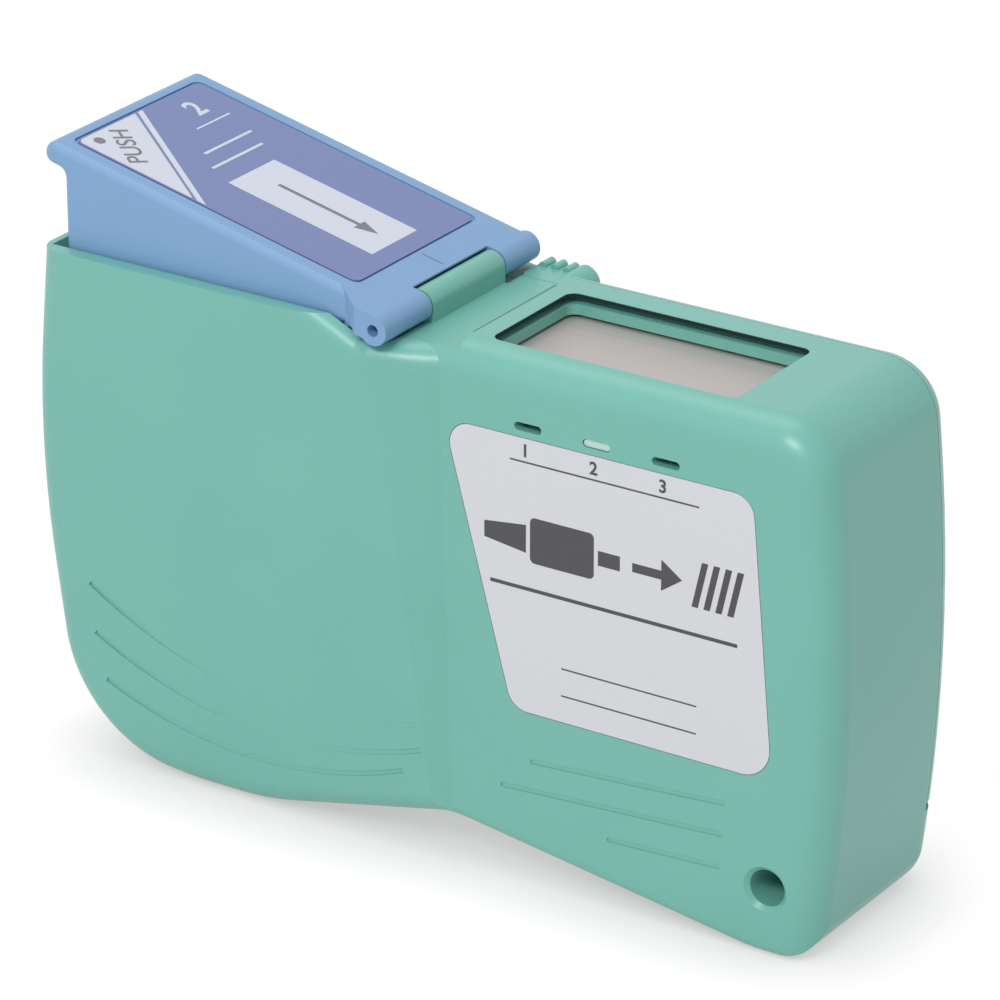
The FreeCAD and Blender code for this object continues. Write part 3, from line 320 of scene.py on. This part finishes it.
# --- Lever return spring ----------------------------------------------------------------------
# Compression spring wound from hard steel wire with closed end turns. It stands on the case's shelf,
# round a short stud, and would shorten as the lever above it is pressed; here it is one rigid coil fixed to
# the case.
coil_low, coil_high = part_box("lever_spring")
coil_x = (coil_low[0] + coil_high[0]) / 2
wire_r = 0.5 * mm
coil_r = (coil_high[0] - coil_low[0]) / 2 - wire_r
coil_turns, coil_steps, wire_sides = 7, 30, 10
end_turn = 1.0 / coil_turns
end_pitch = 2.1 * wire_r
coil_foot, coil_top = coil_low[2] + wire_r, coil_high[2] - wire_r
coil_rise = coil_top - coil_foot - 2 * end_pitch
upward = Vector((0, 0, 1))
coil_work = bmesh.new()
coil_rings = []
for k in range(coil_turns * coil_steps + 1):
    along = k / (coil_turns * coil_steps)
    if along < end_turn:
        z = coil_foot + end_pitch * along / end_turn
    elif along > 1 - end_turn:
        z = coil_top - end_pitch * (1 - along) / end_turn
    else:
        z = coil_foot + end_pitch + coil_rise * (along - end_turn) / (1 - 2 * end_turn)
    angle = 2 * math.pi * coil_turns * along
    outward = Vector((math.cos(angle), math.sin(angle), 0))
    middle = Vector((coil_x, 0, z)) + outward * coil_r
    sides = [2 * math.pi * s / wire_sides for s in range(wire_sides)]
    coil_rings.append([
        coil_work.verts.new(middle + wire_r * (math.cos(s) * outward + math.sin(s) * upward)) for s in sides])
skin_between(coil_work, coil_rings)
coil_work.faces.new(coil_rings[0])
coil_work.faces.new(coil_rings[-1])
return_spring = put_piece("return_spring", coil_work, spring_steel)
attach(return_spring, "case")
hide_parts("lever_spring")
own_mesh(return_spring)


# --- Tape cassette frame ----------------------------------------------------------------------
# Grey moulded plate behind the reels with their bearings, and the guide under the window for the shutter.
# Both are plain ABS mouldings with a matt skin, dropped on the case's posts.
frame_grey, frame_grey_pale = (0.245, 0.255, 0.265, 1), (0.275, 0.285, 0.295, 1)
frame_rough, frame_grain = (0.46, 0.62), 1900.0
frame_plastic = moulded_plastic("frame_grey_plastic", frame_grey, frame_grey_pale, frame_rough, frame_grain)
finish_with(frame_plastic, "cassette_frame", "shutter_guide")


# --- Reels ------------------------------------------------------------------------------------
# Supply and take-up reels, moulded in natural white polystyrene with round windows in the flanges.
# Each runs on a post of the case; the take-up hub holds a steel one-way clutch.
reel_white, reel_white_pale = (0.69, 0.69, 0.66, 1), (0.73, 0.73, 0.70, 1)
reel_rough, reel_grain, reel_grain_depth = (0.28, 0.42), 3200.0, 0.000006
reel_plastic = moulded_plastic("reel_white_plastic", reel_white, reel_white_pale,
                               reel_rough, reel_grain, reel_grain_depth)
finish_with(reel_plastic, "take_up_reel", "supply_reel")
clutch_grey, clutch_lines, clutch_rough = (0.40, 0.40, 0.41, 1), (700.0, 5200.0, 700.0), (0.24, 0.42)
clutch_steel = lined_steel("ground_clutch_steel", clutch_grey, clutch_lines, clutch_rough)
finish_with(clutch_steel, "one_way_clutch")


# --- Cleaning tape ----------------------------------------------------------------------------
# A 12.4 mm band of lint-free microfibre cloth: it is wound on the two reels and runs over the rollers
# and the platen, where a connector is wiped. The rolls show their turns on the end faces, with painted shade
# between them.
tape_white, turn_gap_shade = (0.78, 0.79, 0.80, 1), (0.56, 0.57, 0.58, 1)
thread_pitch, turn_pitch = 0.00042, 0.00045
fuzz_scale, fuzz_height = 6000.0, 0.25
thread_tone, thread_height = (0.88, 1.06), (0.3, 0.7)
turn_shade_share, turn_edge_height = 0.55, 0.8
cloth_rough, cloth_sheen, cloth_depth = 0.9, 0.25, 0.00005


def tape_weave_group():
    """Fine plain weave: threads along the run of the band cross threads over its width."""
    tree, given, result = new_group(
        "tape_weave",
        [("Colour", "NodeSocketColor", (0.8, 0.8, 0.8, 1)), ("Thread", "NodeSocketFloat", 0.0004)],
        [("Colour", "NodeSocketColor"), ("Height", "NodeSocketFloat")])
    place = tree.nodes.new("ShaderNodeTexCoord").outputs["Object"]
    axes = tree.nodes.new("ShaderNodeSeparateXYZ")
    tree.links.new(place, axes.inputs[0])
    turn = math_node(tree, "DIVIDE", 2 * math.pi, given.outputs["Thread"])
    along = math_node(tree, "ADD", axes.outputs["X"], axes.outputs["Z"])
    warp = math_node(tree, "SINE", math_node(tree, "MULTIPLY", along, turn))
    weft = math_node(tree, "SINE", math_node(tree, "MULTIPLY", axes.outputs["Y"], turn))
    over = math_node(tree, "MULTIPLY", warp, weft)
    fuzz = noise_node(tree, place, fuzz_scale, detail=3.0, rough=0.7)
    height = math_node(tree, "ADD", spread(tree, over, *thread_height),
                       spread(tree, fuzz, -fuzz_height, fuzz_height))
    tone = tree.nodes.new("ShaderNodeVectorMath")
    tone.operation = "SCALE"
    tree.links.new(given.outputs["Colour"], tone.inputs[0])
    tree.links.new(spread(tree, height, *thread_tone), tone.inputs["Scale"])
    tree.links.new(tone.outputs[0], result.inputs["Colour"])
    tree.links.new(height, result.inputs["Height"])
    return tree


tape_weave = tape_weave_group()


def cleaning_cloth(name, axis_node=None):
    """The woven band; for a roll, the turns round the roll's axis are added on its end faces, as bumps with
    painted shade.
    """
    material, tree, shader = new_material(name)
    weave = place_group(tree, tape_weave, Colour=tape_white, Thread=thread_pitch)
    colour, height = weave.outputs["Colour"], weave.outputs["Height"]
    if axis_node:
        low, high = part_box(axis_node)
        middle = tree.nodes.new("ShaderNodeVectorMath")
        middle.operation = "SUBTRACT"
        tree.links.new(tree.nodes.new("ShaderNodeTexCoord").outputs["Object"], middle.inputs[0])
        middle.inputs[1].default_value = ((low[0] + high[0]) / 2, 0, (low[2] + high[2]) / 2)
        flat = tree.nodes.new("ShaderNodeVectorMath")
        flat.operation = "MULTIPLY"
        tree.links.new(middle.outputs[0], flat.inputs[0])
        flat.inputs[1].default_value = (1, 0, 1)
        reach = tree.nodes.new("ShaderNodeVectorMath")
        reach.operation = "LENGTH"
        tree.links.new(flat.outputs[0], reach.inputs[0])
        phase = math_node(tree, "MULTIPLY", reach.outputs["Value"], 2 * math.pi / turn_pitch)
        turns = math_node(tree, "SINE", phase)
        # Painted shade between the turns: grey rings follow the sine of the radius on the roll's end faces.
        colour = mix_colour(tree, spread(tree, turns, 0.0, turn_shade_share), colour, turn_gap_shade)
        height = math_node(tree, "ADD", height, math_node(tree, "MULTIPLY", turns, turn_edge_height))
    tree.links.new(colour, shader.inputs["Base Color"])
    shader.inputs["Roughness"].default_value = cloth_rough
    shader.inputs["Sheen Weight"].default_value = cloth_sheen
    add_bump(tree, shader, height, cloth_depth)
    return material


finish_with(cleaning_cloth("tape_band_cloth"), "tape_run")
finish_with(cleaning_cloth("supply_roll_cloth", "supply_roll"), "supply_roll")
finish_with(cleaning_cloth("take_up_roll_cloth", "take_up_roll"), "take_up_roll")


# --- Platen pad and brake washer --------------------------------------------------------------
# The rubber pad under the tape gives way to the connector; the felt washer holds the supply reel back.
# The pad is cut from sheet and glued on its shelf, the washer is punched and lies under the reel.
pad_black, pad_fleck = (0.030, 0.030, 0.032, 1), (0.060, 0.060, 0.062, 1)
felt_grey, felt_fleck = (0.22, 0.21, 0.20, 1), (0.46, 0.45, 0.42, 1)
pad_scale, pad_depth, pad_rough = 2400.0, 0.00002, 0.72
felt_scale, felt_depth, felt_rough = 3600.0, 0.00012, 0.92
cloud_ratio, cloud_share, cloud_rough = 9, 0.35, 0.06


def soft_sheet(name, colour, fleck, scale, depth, rough):
    material, tree, shader = new_material(name)
    place = tree.nodes.new("ShaderNodeTexCoord").outputs["Object"]
    fibre = noise_node(tree, place, scale, detail=5.0, rough=0.7)
    cloud = noise_node(tree, place, scale / cloud_ratio, detail=2.0)
    tone = mix_colour(tree, spread(tree, fibre, 0.0, 1.0), colour, fleck)
    tone = mix_colour(tree, spread(tree, cloud, 0.0, cloud_share), tone, colour)
    tree.links.new(tone, shader.inputs["Base Color"])
    tree.links.new(spread(tree, cloud, rough - cloud_rough, rough + cloud_rough), shader.inputs["Roughness"])
    add_bump(tree, shader, fibre, depth)
    return material


pad_rubber = soft_sheet("pad_black_rubber", pad_black, pad_fleck, pad_scale, pad_depth, pad_rough)
finish_with(pad_rubber, "platen_pad")
brake_felt = soft_sheet("brake_felt", felt_grey, felt_fleck, felt_scale, felt_depth, felt_rough)
finish_with(brake_felt, "brake_washer")


# --- Drive gears and shutter arm --------------------------------------------------------------
# Toothed sector in the lever, pinion on the take-up post, the arm that draws the shutter and the tape's
# two rollers. All are moulded in natural acetal, a waxy white plastic that runs without grease.
gear_white, gear_white_pale = (0.75, 0.74, 0.68, 1), (0.79, 0.78, 0.72, 1)
gear_rough, gear_grain, gear_grain_depth = (0.26, 0.38), 3000.0, 0.000005
acetal_glow, acetal_reach = 0.12, 1.0 * mm
acetal = moulded_plastic("gear_white_acetal", gear_white, gear_white_pale,
                         gear_rough, gear_grain, gear_grain_depth)
acetal_shader = acetal.node_tree.nodes["Principled BSDF"]
acetal_shader.inputs["Subsurface Weight"].default_value = acetal_glow
acetal_shader.inputs["Subsurface Scale"].default_value = acetal_reach
finish_with(acetal, "drive_sector", "drive_gear", "shutter_arm", "guide_roller_left", "guide_roller_right")


# --- Window shutter ---------------------------------------------------------------------------
# Thin stainless sheet that closes the wiping window; its finish is brushed lengthwise and bead-dulled,
# so that it looks a warm pale grey. It slides in the guide, pulled by a pin of the arm in its tab.
shutter_grey, brush_lines, brush_depth = (0.500, 0.468, 0.452, 1), (40.0, 3800.0, 3800.0), 0.000008
shutter_rough, shutter_metal = (0.48, 0.62), 0.55
shutter_steel, shutter_tree, shutter_shader = new_material("shutter_dull_steel")
brushed = place_group(shutter_tree, drawn_lines, Colour=shutter_grey, Line_Scale=brush_lines,
                      Rough_Low=shutter_rough[0], Rough_High=shutter_rough[1])
shutter_tree.links.new(brushed.outputs["Colour"], shutter_shader.inputs["Base Color"])
shutter_tree.links.new(brushed.outputs["Roughness"], shutter_shader.inputs["Roughness"])
shutter_shader.inputs["Metallic"].default_value = shutter_metal
add_bump(shutter_tree, shutter_shader, brushed.outputs["Height"], brush_depth)
finish_with(shutter_steel, "shutter")


# --- Push lever -------------------------------------------------------------------------------
# Hollow blue ABS moulding, pressed by the thumb at its lip; it turns on the steel pin at the land
# and carries the toothed sector inside its front wall.
lever_blue, lever_blue_pale = (0.194, 0.355, 0.592, 1), (0.210, 0.380, 0.622, 1)
lever_plastic = moulded_plastic("lever_blue_plastic", lever_blue, lever_blue_pale)
finish_with(lever_plastic, "lever")


# --- Tape type marker -------------------------------------------------------------------------
# Pale mint plug that shows which tape is loaded. It is moulded in ABS and snapped from inside
# into the middle one of the three slots.
marker_mint, marker_mint_pale, marker_rough = (0.490, 0.688, 0.628, 1), (0.515, 0.715, 0.655, 1), (0.34, 0.46)
marker_plastic = moulded_plastic("marker_mint_plastic", marker_mint, marker_mint_pale, marker_rough)
finish_with(marker_plastic, "type_marker")


# --- Front label ------------------------------------------------------------------------------
# Die-cut white polyester film stuck in a shallow seat of the front face, printed in dark grey:
# marks 1 to 3 for the slots, a scale line, a plain sign for connector on cloth, and ruled lines.
film_white, film_white_mottle, film_rough = (0.680, 0.685, 0.720, 1), (0.640, 0.645, 0.680, 1), (0.40, 0.52)
ink_dark, ink_dark_mottle, ink_rough = (0.052, 0.052, 0.058, 1), (0.085, 0.085, 0.092, 1), (0.45, 0.60)
tooth_scale, tooth_depth = 4200.0, 0.000004
mottle_scale, mottle_share = 60.0, 0.5
ink_t = 0.02 * mm
slot_middles, slot_mark_z, slot_mark_h, slot_mark_bold = (15.25, 25.25, 35.25), 60.0, 1.65, 0.06
cap_height = 0.69
sign_z, sign_h, plug_corner_r = 48.1, 6.2, 0.7
stripes, stripe_start, stripe_pitch, stripe_w, stripe_lean = 4, 39.6, 1.7, 0.9, 1.4


def printed_film(name, colour, mottle, rough):
    material, tree, shader = new_material(name)
    place = tree.nodes.new("ShaderNodeTexCoord").outputs["Object"]
    tooth = noise_node(tree, place, tooth_scale, detail=3.0, rough=0.6)
    cloud = noise_node(tree, place, mottle_scale, detail=2.0)
    tone = mix_colour(tree, spread(tree, tooth, 0.0, 1.0), colour, mottle)
    tone = mix_colour(tree, spread(tree, cloud, 0.0, mottle_share), tone, colour)
    tree.links.new(tone, shader.inputs["Base Color"])
    tree.links.new(spread(tree, tooth, *rough), shader.inputs["Roughness"])
    add_bump(tree, shader, tooth, tooth_depth)
    return material


label_film = printed_film("label_white_film", film_white, film_white_mottle, film_rough)
finish_with(label_film, "front_label")
dark_ink = printed_film("dark_grey_ink", ink_dark, ink_dark_mottle, ink_rough)


def ink_plate(name, outline, place, ink, body):
    """A printed mark: a thin closed plate on an outline of (u, v) millimetres, put on its surface."""
    work = bmesh.new()
    lower = [work.verts.new(place @ Vector((u * mm, v * mm, -ink_t))) for u, v in outline]
    upper = [work.verts.new(place @ Vector((u * mm, v * mm, ink_t))) for u, v in outline]
    work.faces.new(upper)
    work.faces.new(lower[::-1])
    for i in range(len(outline)):
        j = (i + 1) % len(outline)
        work.faces.new((lower[i], lower[j], upper[j], upper[i]))
    work.normal_update()
    bmesh.ops.triangulate(work, faces=[f for f in work.faces if len(f.verts) > 4])
    bmesh.ops.recalc_face_normals(work, faces=work.faces)
    mesh = bpy.data.meshes.new(name)
    work.to_mesh(mesh)
    work.free()
    return put_mark(name, mesh, ink, body)


def put_mark(name, mesh, ink, body):
    mark = bpy.data.objects.new(name, mesh)
    bpy.context.scene.collection.objects.link(mark)
    mark.data.materials.append(ink)
    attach(mark, body)
    return mark


def rounded(corners, radii, steps=5):
    """Outline through the corners, each one rounded by its own radius."""
    points = []
    for i, (corner, r) in enumerate(zip(corners, radii)):
        here = Vector(corner)
        back = (Vector(corners[i - 1]) - here).normalized()
        ahead = (Vector(corners[(i + 1) % len(corners)]) - here).normalized()
        half = back.angle(ahead) / 2
        reach = r / math.tan(half)
        centre = here + (back + ahead).normalized() * (r / math.sin(half))
        first, last = here + back * reach - centre, here + ahead * reach - centre
        for k in range(steps + 1):
            points.append(tuple(centre + r * first.slerp(last, k / steps)))
    return points


def bar(u0, u1, v, thick):
    return [(u0, v - thick / 2), (u1, v - thick / 2), (u1, v + thick / 2), (u0, v + thick / 2)]


def arrow(tail, neck, tip, v, shaft_half, head_half):
    """Outline of an arrow along u: a straight shaft and a pointed head."""
    return [(tail, v - shaft_half), (neck, v - shaft_half), (neck, v - head_half), (tip, v),
            (neck, v + head_half), (neck, v + shaft_half), (tail, v + shaft_half)]


def ink_numeral(name, text, height, place, middle, ink, body, weight=0.0):
    """Printed characters: the built-in face, cut as a thin plate with its middle at a point."""
    curve = bpy.data.curves.new(name + "_drawn", "FONT")
    curve.body = text
    curve.size = height * mm / cap_height
    curve.align_x = "CENTER"
    curve.offset = weight * mm
    curve.extrude = ink_t
    drawn = bpy.data.objects.new(name + "_drawn", curve)
    bpy.context.scene.collection.objects.link(drawn)
    bpy.context.view_layer.update()
    mesh = bpy.data.meshes.new_from_object(drawn.evaluated_get(bpy.context.evaluated_depsgraph_get()))
    bpy.data.objects.remove(drawn)
    mesh.transform(place @ Matrix.Translation((middle[0] * mm, middle[1] * mm - height * mm / 2, 0)))
    mesh.materials.clear()
    return put_mark(name, mesh, ink, body)


label_front_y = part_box("front_label")[0][1]
front_face = Matrix(((1, 0, 0, 0), (0, 0, -1, label_front_y), (0, 1, 0, 0), (0, 0, 0, 1)))
for count, x in enumerate(slot_middles, 1):
    ink_numeral("slot_mark_%d" % count, str(count), slot_mark_h, front_face, (x, slot_mark_z),
                dark_ink, "case", slot_mark_bold)
front_marks = {
    "scale_line": bar(13.0, 40.5, 58.45, 0.22),
    "plug_boot": [(9.2, 47.0), (15.4, 46.2), (15.4, 50.0), (9.2, 49.2)],
    "plug_body": rounded(bar(16.0, 25.4, sign_z, sign_h), [plug_corner_r] * 4),
    "plug_ferrule": bar(26.0, 29.2, sign_z, 2.0),
    "sign_arrow": arrow(31.0, 35.2, 38.2, sign_z, 0.6, 2.1),
    "divider_line": bar(10.1, 46.2, 41.3, 0.5),
    "ruled_line_high": bar(20.7, 40.5, 27.85, 0.2),
    "ruled_line_low": bar(20.7, 40.5, 31.6, 0.2),
}
for k in range(stripes):
    foot, low, high = stripe_start + stripe_pitch * k, sign_z - sign_h / 2, sign_z + sign_h / 2
    front_marks["cloth_stripe_%d" % (k + 1)] = [
        (foot, low), (foot + stripe_w, low),
        (foot + stripe_lean + stripe_w, high), (foot + stripe_lean, high)]
for name, outline in front_marks.items():
    ink_plate(name, outline, front_face, dark_ink, "case")


# --- Lever label ------------------------------------------------------------------------------
# Violet film let into the lever's sloping top, printed in white: the corner to push on, with a dot,
# the number of the tape, ruled lines, and a panel whose arrow shows which way the connector is drawn.
# A short moulding line marks the strip beside it.
film_violet, film_violet_mottle = (0.168, 0.218, 0.452, 1), (0.150, 0.196, 0.415, 1)
ink_white, ink_white_mottle = (0.66, 0.70, 0.79, 1), (0.60, 0.64, 0.74, 1)
ink_grey, ink_grey_mottle = (0.150, 0.155, 0.185, 1), (0.22, 0.225, 0.26, 1)
line_blue, line_blue_mottle = (0.060, 0.115, 0.240, 1), (0.075, 0.135, 0.265, 1)
violet_rough = (0.28, 0.40)
violet_film = printed_film("lever_violet_film", film_violet, film_violet_mottle, violet_rough)
finish_with(violet_film, "lever_label")
white_ink = printed_film("white_ink", ink_white, ink_white_mottle, film_rough)
grey_ink = printed_film("grey_ink", ink_grey, ink_grey_mottle, film_rough)
panel_low, panel_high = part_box("lever_label")
lever_slope = math.radians(12.8009)
violet_film_t = 0.3 * mm
panel_along = Vector((math.cos(lever_slope), 0, -math.sin(lever_slope)))
panel_up = Vector((math.sin(lever_slope), 0, math.cos(lever_slope)))
panel_start = Vector((panel_low[0] + violet_film_t * math.sin(lever_slope), 0, panel_high[2]))
sloping_top = Matrix((
    (panel_along.x, 0, panel_up.x, panel_start.x),
    (0, 1, 0, 0),
    (panel_along.z, 0, panel_up.z, panel_start.z),
    (0, 0, 0, 1)))


def cross_bar(u, v0, v1, thick):
    return [(u - thick / 2, v0), (u + thick / 2, v0), (u + thick / 2, v1), (u - thick / 2, v1)]


def turned(place, u, v, degrees):
    """A place on the same surface, moved to (u, v) millimetres and turned."""
    return place @ Matrix.Translation((u * mm, v * mm, 0)) @ Matrix.Rotation(math.radians(degrees), 4, "Z")


arrow_v = -0.8
push_corner_radii = (1.0, 0.12, 0.12)
tape_mark_h, tape_mark_bold = 3.3, 0.10
push_word_h, push_word_bold, push_word_turn = 2.6, 0.03, 145.9
push_dot_v, push_dot_w, push_dot_r = -10.7, 1.6, 0.78
lever_marks = {
    "push_corner": rounded([(0.3, -13.1), (18.9, -13.1), (0.3, -0.8)], push_corner_radii),
    "push_stripe": [(19.6, -13.1), (21.0, -13.1), (0.3, 0.75), (0.3, -0.25)],
    "arrow_panel": bar(19.2, 42.0, arrow_v, 10.1),
    "type_rule": cross_bar(7.9, 2.6, 9.8, 0.30),
    "first_rule": cross_bar(12.6, -2.1, 8.2, 0.45),
    "second_rule": cross_bar(15.6, -4.4, 6.6, 0.45),
}
for name, outline in lever_marks.items():
    ink_plate(name, outline, sloping_top, white_ink, "push_lever")
ink_numeral("type_mark", "2", tape_mark_h, turned(sloping_top, 4.2, 7.0, 90), (0, 0),
            white_ink, "push_lever", tape_mark_bold)
over_print = sloping_top @ Matrix.Translation((0, 0, 1.5 * ink_t))
ink_plate("wiping_arrow", arrow(23.6, 36.4, 39.4, arrow_v, 0.3, 1.2),
          over_print, grey_ink, "push_lever")
ink_plate("push_dot", rounded(bar(1.2, 2.8, push_dot_v, push_dot_w), [push_dot_r] * 4),
          over_print, grey_ink, "push_lever")
ink_numeral("push_word", "PUSH", push_word_h, turned(over_print, 5.2, -8.8, push_word_turn), (0, 0),
            grey_ink, "push_lever", push_word_bold)
strip_shade = printed_film("strip_shade", line_blue, line_blue_mottle, ink_rough)
ink_plate("moulding_line", bar(46.0, 49.3, -0.3, 0.16), sloping_top, strip_shade, "push_lever")


# --- Window land line -------------------------------------------------------------------------
# Fine dark line of painted shade where the raised land round the window meets the lower land of the lever's
# hinge.
# It is a thin dark plate along the edge of the step, where shade falls.
step_shade_green, step_shade_green_mottle = (0.050, 0.200, 0.165, 1), (0.065, 0.225, 0.190, 1)
land_top_z = 71.8
# Painted shade: the dark green film on this plate stands for the shadow at the step.
painted_step_shade = printed_film("land_step_painted_shade", step_shade_green, step_shade_green_mottle, ink_rough)
land_top = Matrix.Translation((0, 0, land_top_z * mm))
ink_plate("land_line", [(4.32, -10.6), (4.50, -10.6), (4.62, 8.2), (4.32, 8.2)],
          land_top, painted_step_shade, "case")


# --- Window lip shade -------------------------------------------------------------------------
# Dark band of painted shade round the inside of the window's lip; it deepens the shadow gap past the shutter.
# It lines the lip, a little below the lip's edge.
shade_band_dark, shade_band_fleck = (0.009, 0.025, 0.021, 1), (0.015, 0.036, 0.031, 1)
shade_band_scale, shade_band_depth, shade_band_rough, shade_band_gloss = 2400.0, 0.00001, 0.80, 0.2
shade_band_foot, shade_band_head, shade_band_t = 71.20, 71.72, 0.03
shade_band_sharp = math.radians(40)
lip_overhang, lip_corner_r, lip_corner_steps = 1.3, 1.5, 8
under_lip_low, under_lip_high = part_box("window_frame")
# Painted shade: the near-black sheet material of the band stands for the shadow in the gap under the lip.
painted_shade_band = soft_sheet("lip_painted_shade", shade_band_dark, shade_band_fleck, shade_band_scale, shade_band_depth, shade_band_rough)
painted_shade_band.node_tree.nodes["Principled BSDF"].inputs["Specular IOR Level"].default_value = shade_band_gloss


def lip_outline(inset):
    x0, y0 = (under_lip_low[k] / mm + lip_overhang + inset for k in range(2))
    x1, y1 = (under_lip_high[k] / mm - lip_overhang - inset for k in range(2))
    corners = [(x0, y0), (x1, y0), (x1, y1), (x0, y1)]
    return rounded(corners, [lip_corner_r - inset] * 4, lip_corner_steps)


shade_band_work = bmesh.new()
shade_band_section = ((shade_band_t, shade_band_foot), (shade_band_t, shade_band_head), (-shade_band_t, shade_band_head), (-shade_band_t, shade_band_foot))
shade_band_rings = [
    [shade_band_work.verts.new((x * mm, y * mm, z * mm)) for x, y in lip_outline(inset)]
    for inset, z in shade_band_section]
skin_between(shade_band_work, shade_band_rings + shade_band_rings[:1])
window_shade_band = put_piece("window_shade_band", shade_band_work, painted_shade_band)
window_shade_band.data.set_sharp_from_angle(angle=shade_band_sharp)
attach(window_shade_band, "case")


# --- Table and light --------------------------------------------------------------------------
# White sweep under the cleaner, a soft lamp high in front of it and a weaker one overhead.
# The sweep is painted matt white and lit from within; close to the cleaner's foot its glow is darkened as a
# painted contact shadow.
table_white, table_white_pale, paint_scale = (0.84, 0.84, 0.84, 1), (0.88, 0.88, 0.88, 1), 900.0
table_half, table_gap, table_rough, table_gloss = 3.0, 0.05 * mm, 0.9, 0.1
black, white = (0.0, 0.0, 0.0, 1), (1.0, 1.0, 1.0, 1)
glow_strength, glow_share = 1.08, 0.84
foot_reach, foot_darkest, foot_samples = 13 * mm, 0.52, 8
fill_strength, backdrop_strength = 0.50, 1.0


def seen_directly(tree):
    """One for rays from the camera, a mirror or a clear part, and nought for light that is on its way."""
    path = tree.nodes.new("ShaderNodeLightPath")
    mirrored = math_node(tree, "MAXIMUM", path.outputs["Is Glossy Ray"], path.outputs["Is Transmission Ray"])
    return math_node(tree, "MAXIMUM", path.outputs["Is Camera Ray"], mirrored)


floor_paint, floor_tree, floor_shader = new_material("table_white")
floor_place = floor_tree.nodes.new("ShaderNodeTexCoord").outputs["Object"]
paint_grain = noise_node(floor_tree, floor_place, paint_scale, detail=3.0)
floor_tree.links.new(mix_colour(floor_tree, paint_grain, table_white, table_white_pale),
                     floor_shader.inputs["Base Color"])
floor_shader.inputs["Roughness"].default_value = table_rough
floor_shader.inputs["Specular IOR Level"].default_value = table_gloss
floor_glow = floor_tree.nodes.new("ShaderNodeEmission")
floor_glow.inputs["Strength"].default_value = glow_strength
# Painted shadow: ambient occlusion darkens the floor's glow near the cleaner's foot.
near_foot = floor_tree.nodes.new("ShaderNodeAmbientOcclusion")
near_foot.samples = foot_samples
near_foot.inputs["Distance"].default_value = foot_reach
foot_shade = spread(floor_tree, near_foot.outputs["AO"], foot_darkest, 1.0)
floor_tree.links.new(mix_colour(floor_tree, foot_shade, black, white), floor_glow.inputs["Color"])
floor_mix = floor_tree.nodes.new("ShaderNodeMixShader")
floor_tree.links.new(math_node(floor_tree, "MULTIPLY", seen_directly(floor_tree), glow_share),
                     floor_mix.inputs[0])
floor_tree.links.new(floor_shader.outputs[0], floor_mix.inputs[1])
floor_tree.links.new(floor_glow.outputs[0], floor_mix.inputs[2])
floor_tree.links.new(floor_mix.outputs[0], floor_tree.nodes["Material Output"].inputs["Surface"])
floor_work = bmesh.new()
bmesh.ops.create_grid(floor_work, x_segments=8, y_segments=8, size=table_half)
floor = put_piece("table_top", floor_work, floor_paint)
floor.location.z = min(0.0, cad_box[0][2]) - table_gap

world = bpy.data.worlds.new("studio_white")
bpy.context.scene.world = world
world.use_nodes = True
world_tree = world.node_tree
fill = world_tree.nodes["Background"]
fill.inputs["Color"].default_value = white
fill.inputs["Strength"].default_value = fill_strength
backdrop = world_tree.nodes.new("ShaderNodeBackground")
backdrop.inputs["Color"].default_value = white
backdrop.inputs["Strength"].default_value = backdrop_strength
world_mix = world_tree.nodes.new("ShaderNodeMixShader")
world_tree.links.new(seen_directly(world_tree), world_mix.inputs[0])
world_tree.links.new(fill.outputs[0], world_mix.inputs[1])
world_tree.links.new(backdrop.outputs[0], world_mix.inputs[2])
world_tree.links.new(world_mix.outputs[0], world_tree.nodes["World Output"].inputs["Surface"])


def soft_lamp(name, spot, target, size, power):
    lamp = bpy.data.lights.new(name, "AREA")
    lamp.shape = "DISK"
    lamp.size = size
    lamp.energy = power
    holder = bpy.data.objects.new(name, lamp)
    holder.location = spot
    holder.rotation_mode = "QUATERNION"
    holder.rotation_quaternion = (Vector(target) - Vector(spot)).to_track_quat("-Z", "Y")
    bpy.context.scene.collection.objects.link(holder)


lamp_aim = (0, 0, 0.04)
soft_lamp("key_lamp", spot=(0.10, -0.92, 0.92), target=lamp_aim, size=0.34, power=6.7)
soft_lamp("top_lamp", spot=(-0.3, 0.1, 1.1), target=lamp_aim, size=0.8, power=3.0)


# --- Camera -----------------------------------------------------------------------------------
# Long lens from the front right, a little above, as in the photograph.
# The frame is shifted up a touch, so that the cleaner sits as it does there.
look_at = Vector((0.00106, 0.00045, 0.04123))
turn, tilt, far = math.radians(33.3), math.radians(24.0), 0.7311
back = Vector((math.sin(turn) * math.cos(tilt), -math.cos(turn) * math.cos(tilt), math.sin(tilt)))
lens = bpy.data.cameras.new("front_camera")
lens.sensor_width = 36.0
lens.lens = 205.2
lens.shift_y = 0.02
lens.clip_start = 0.01
eye = bpy.data.objects.new("front_camera", lens)
eye.location = look_at + back * far
eye.rotation_mode = "QUATERNION"
eye.rotation_quaternion = (-back).to_track_quat("-Z", "Y")
bpy.context.scene.collection.objects.link(eye)
bpy.context.scene.camera = eye
bpy.context.scene.view_settings.view_transform = "Standard"
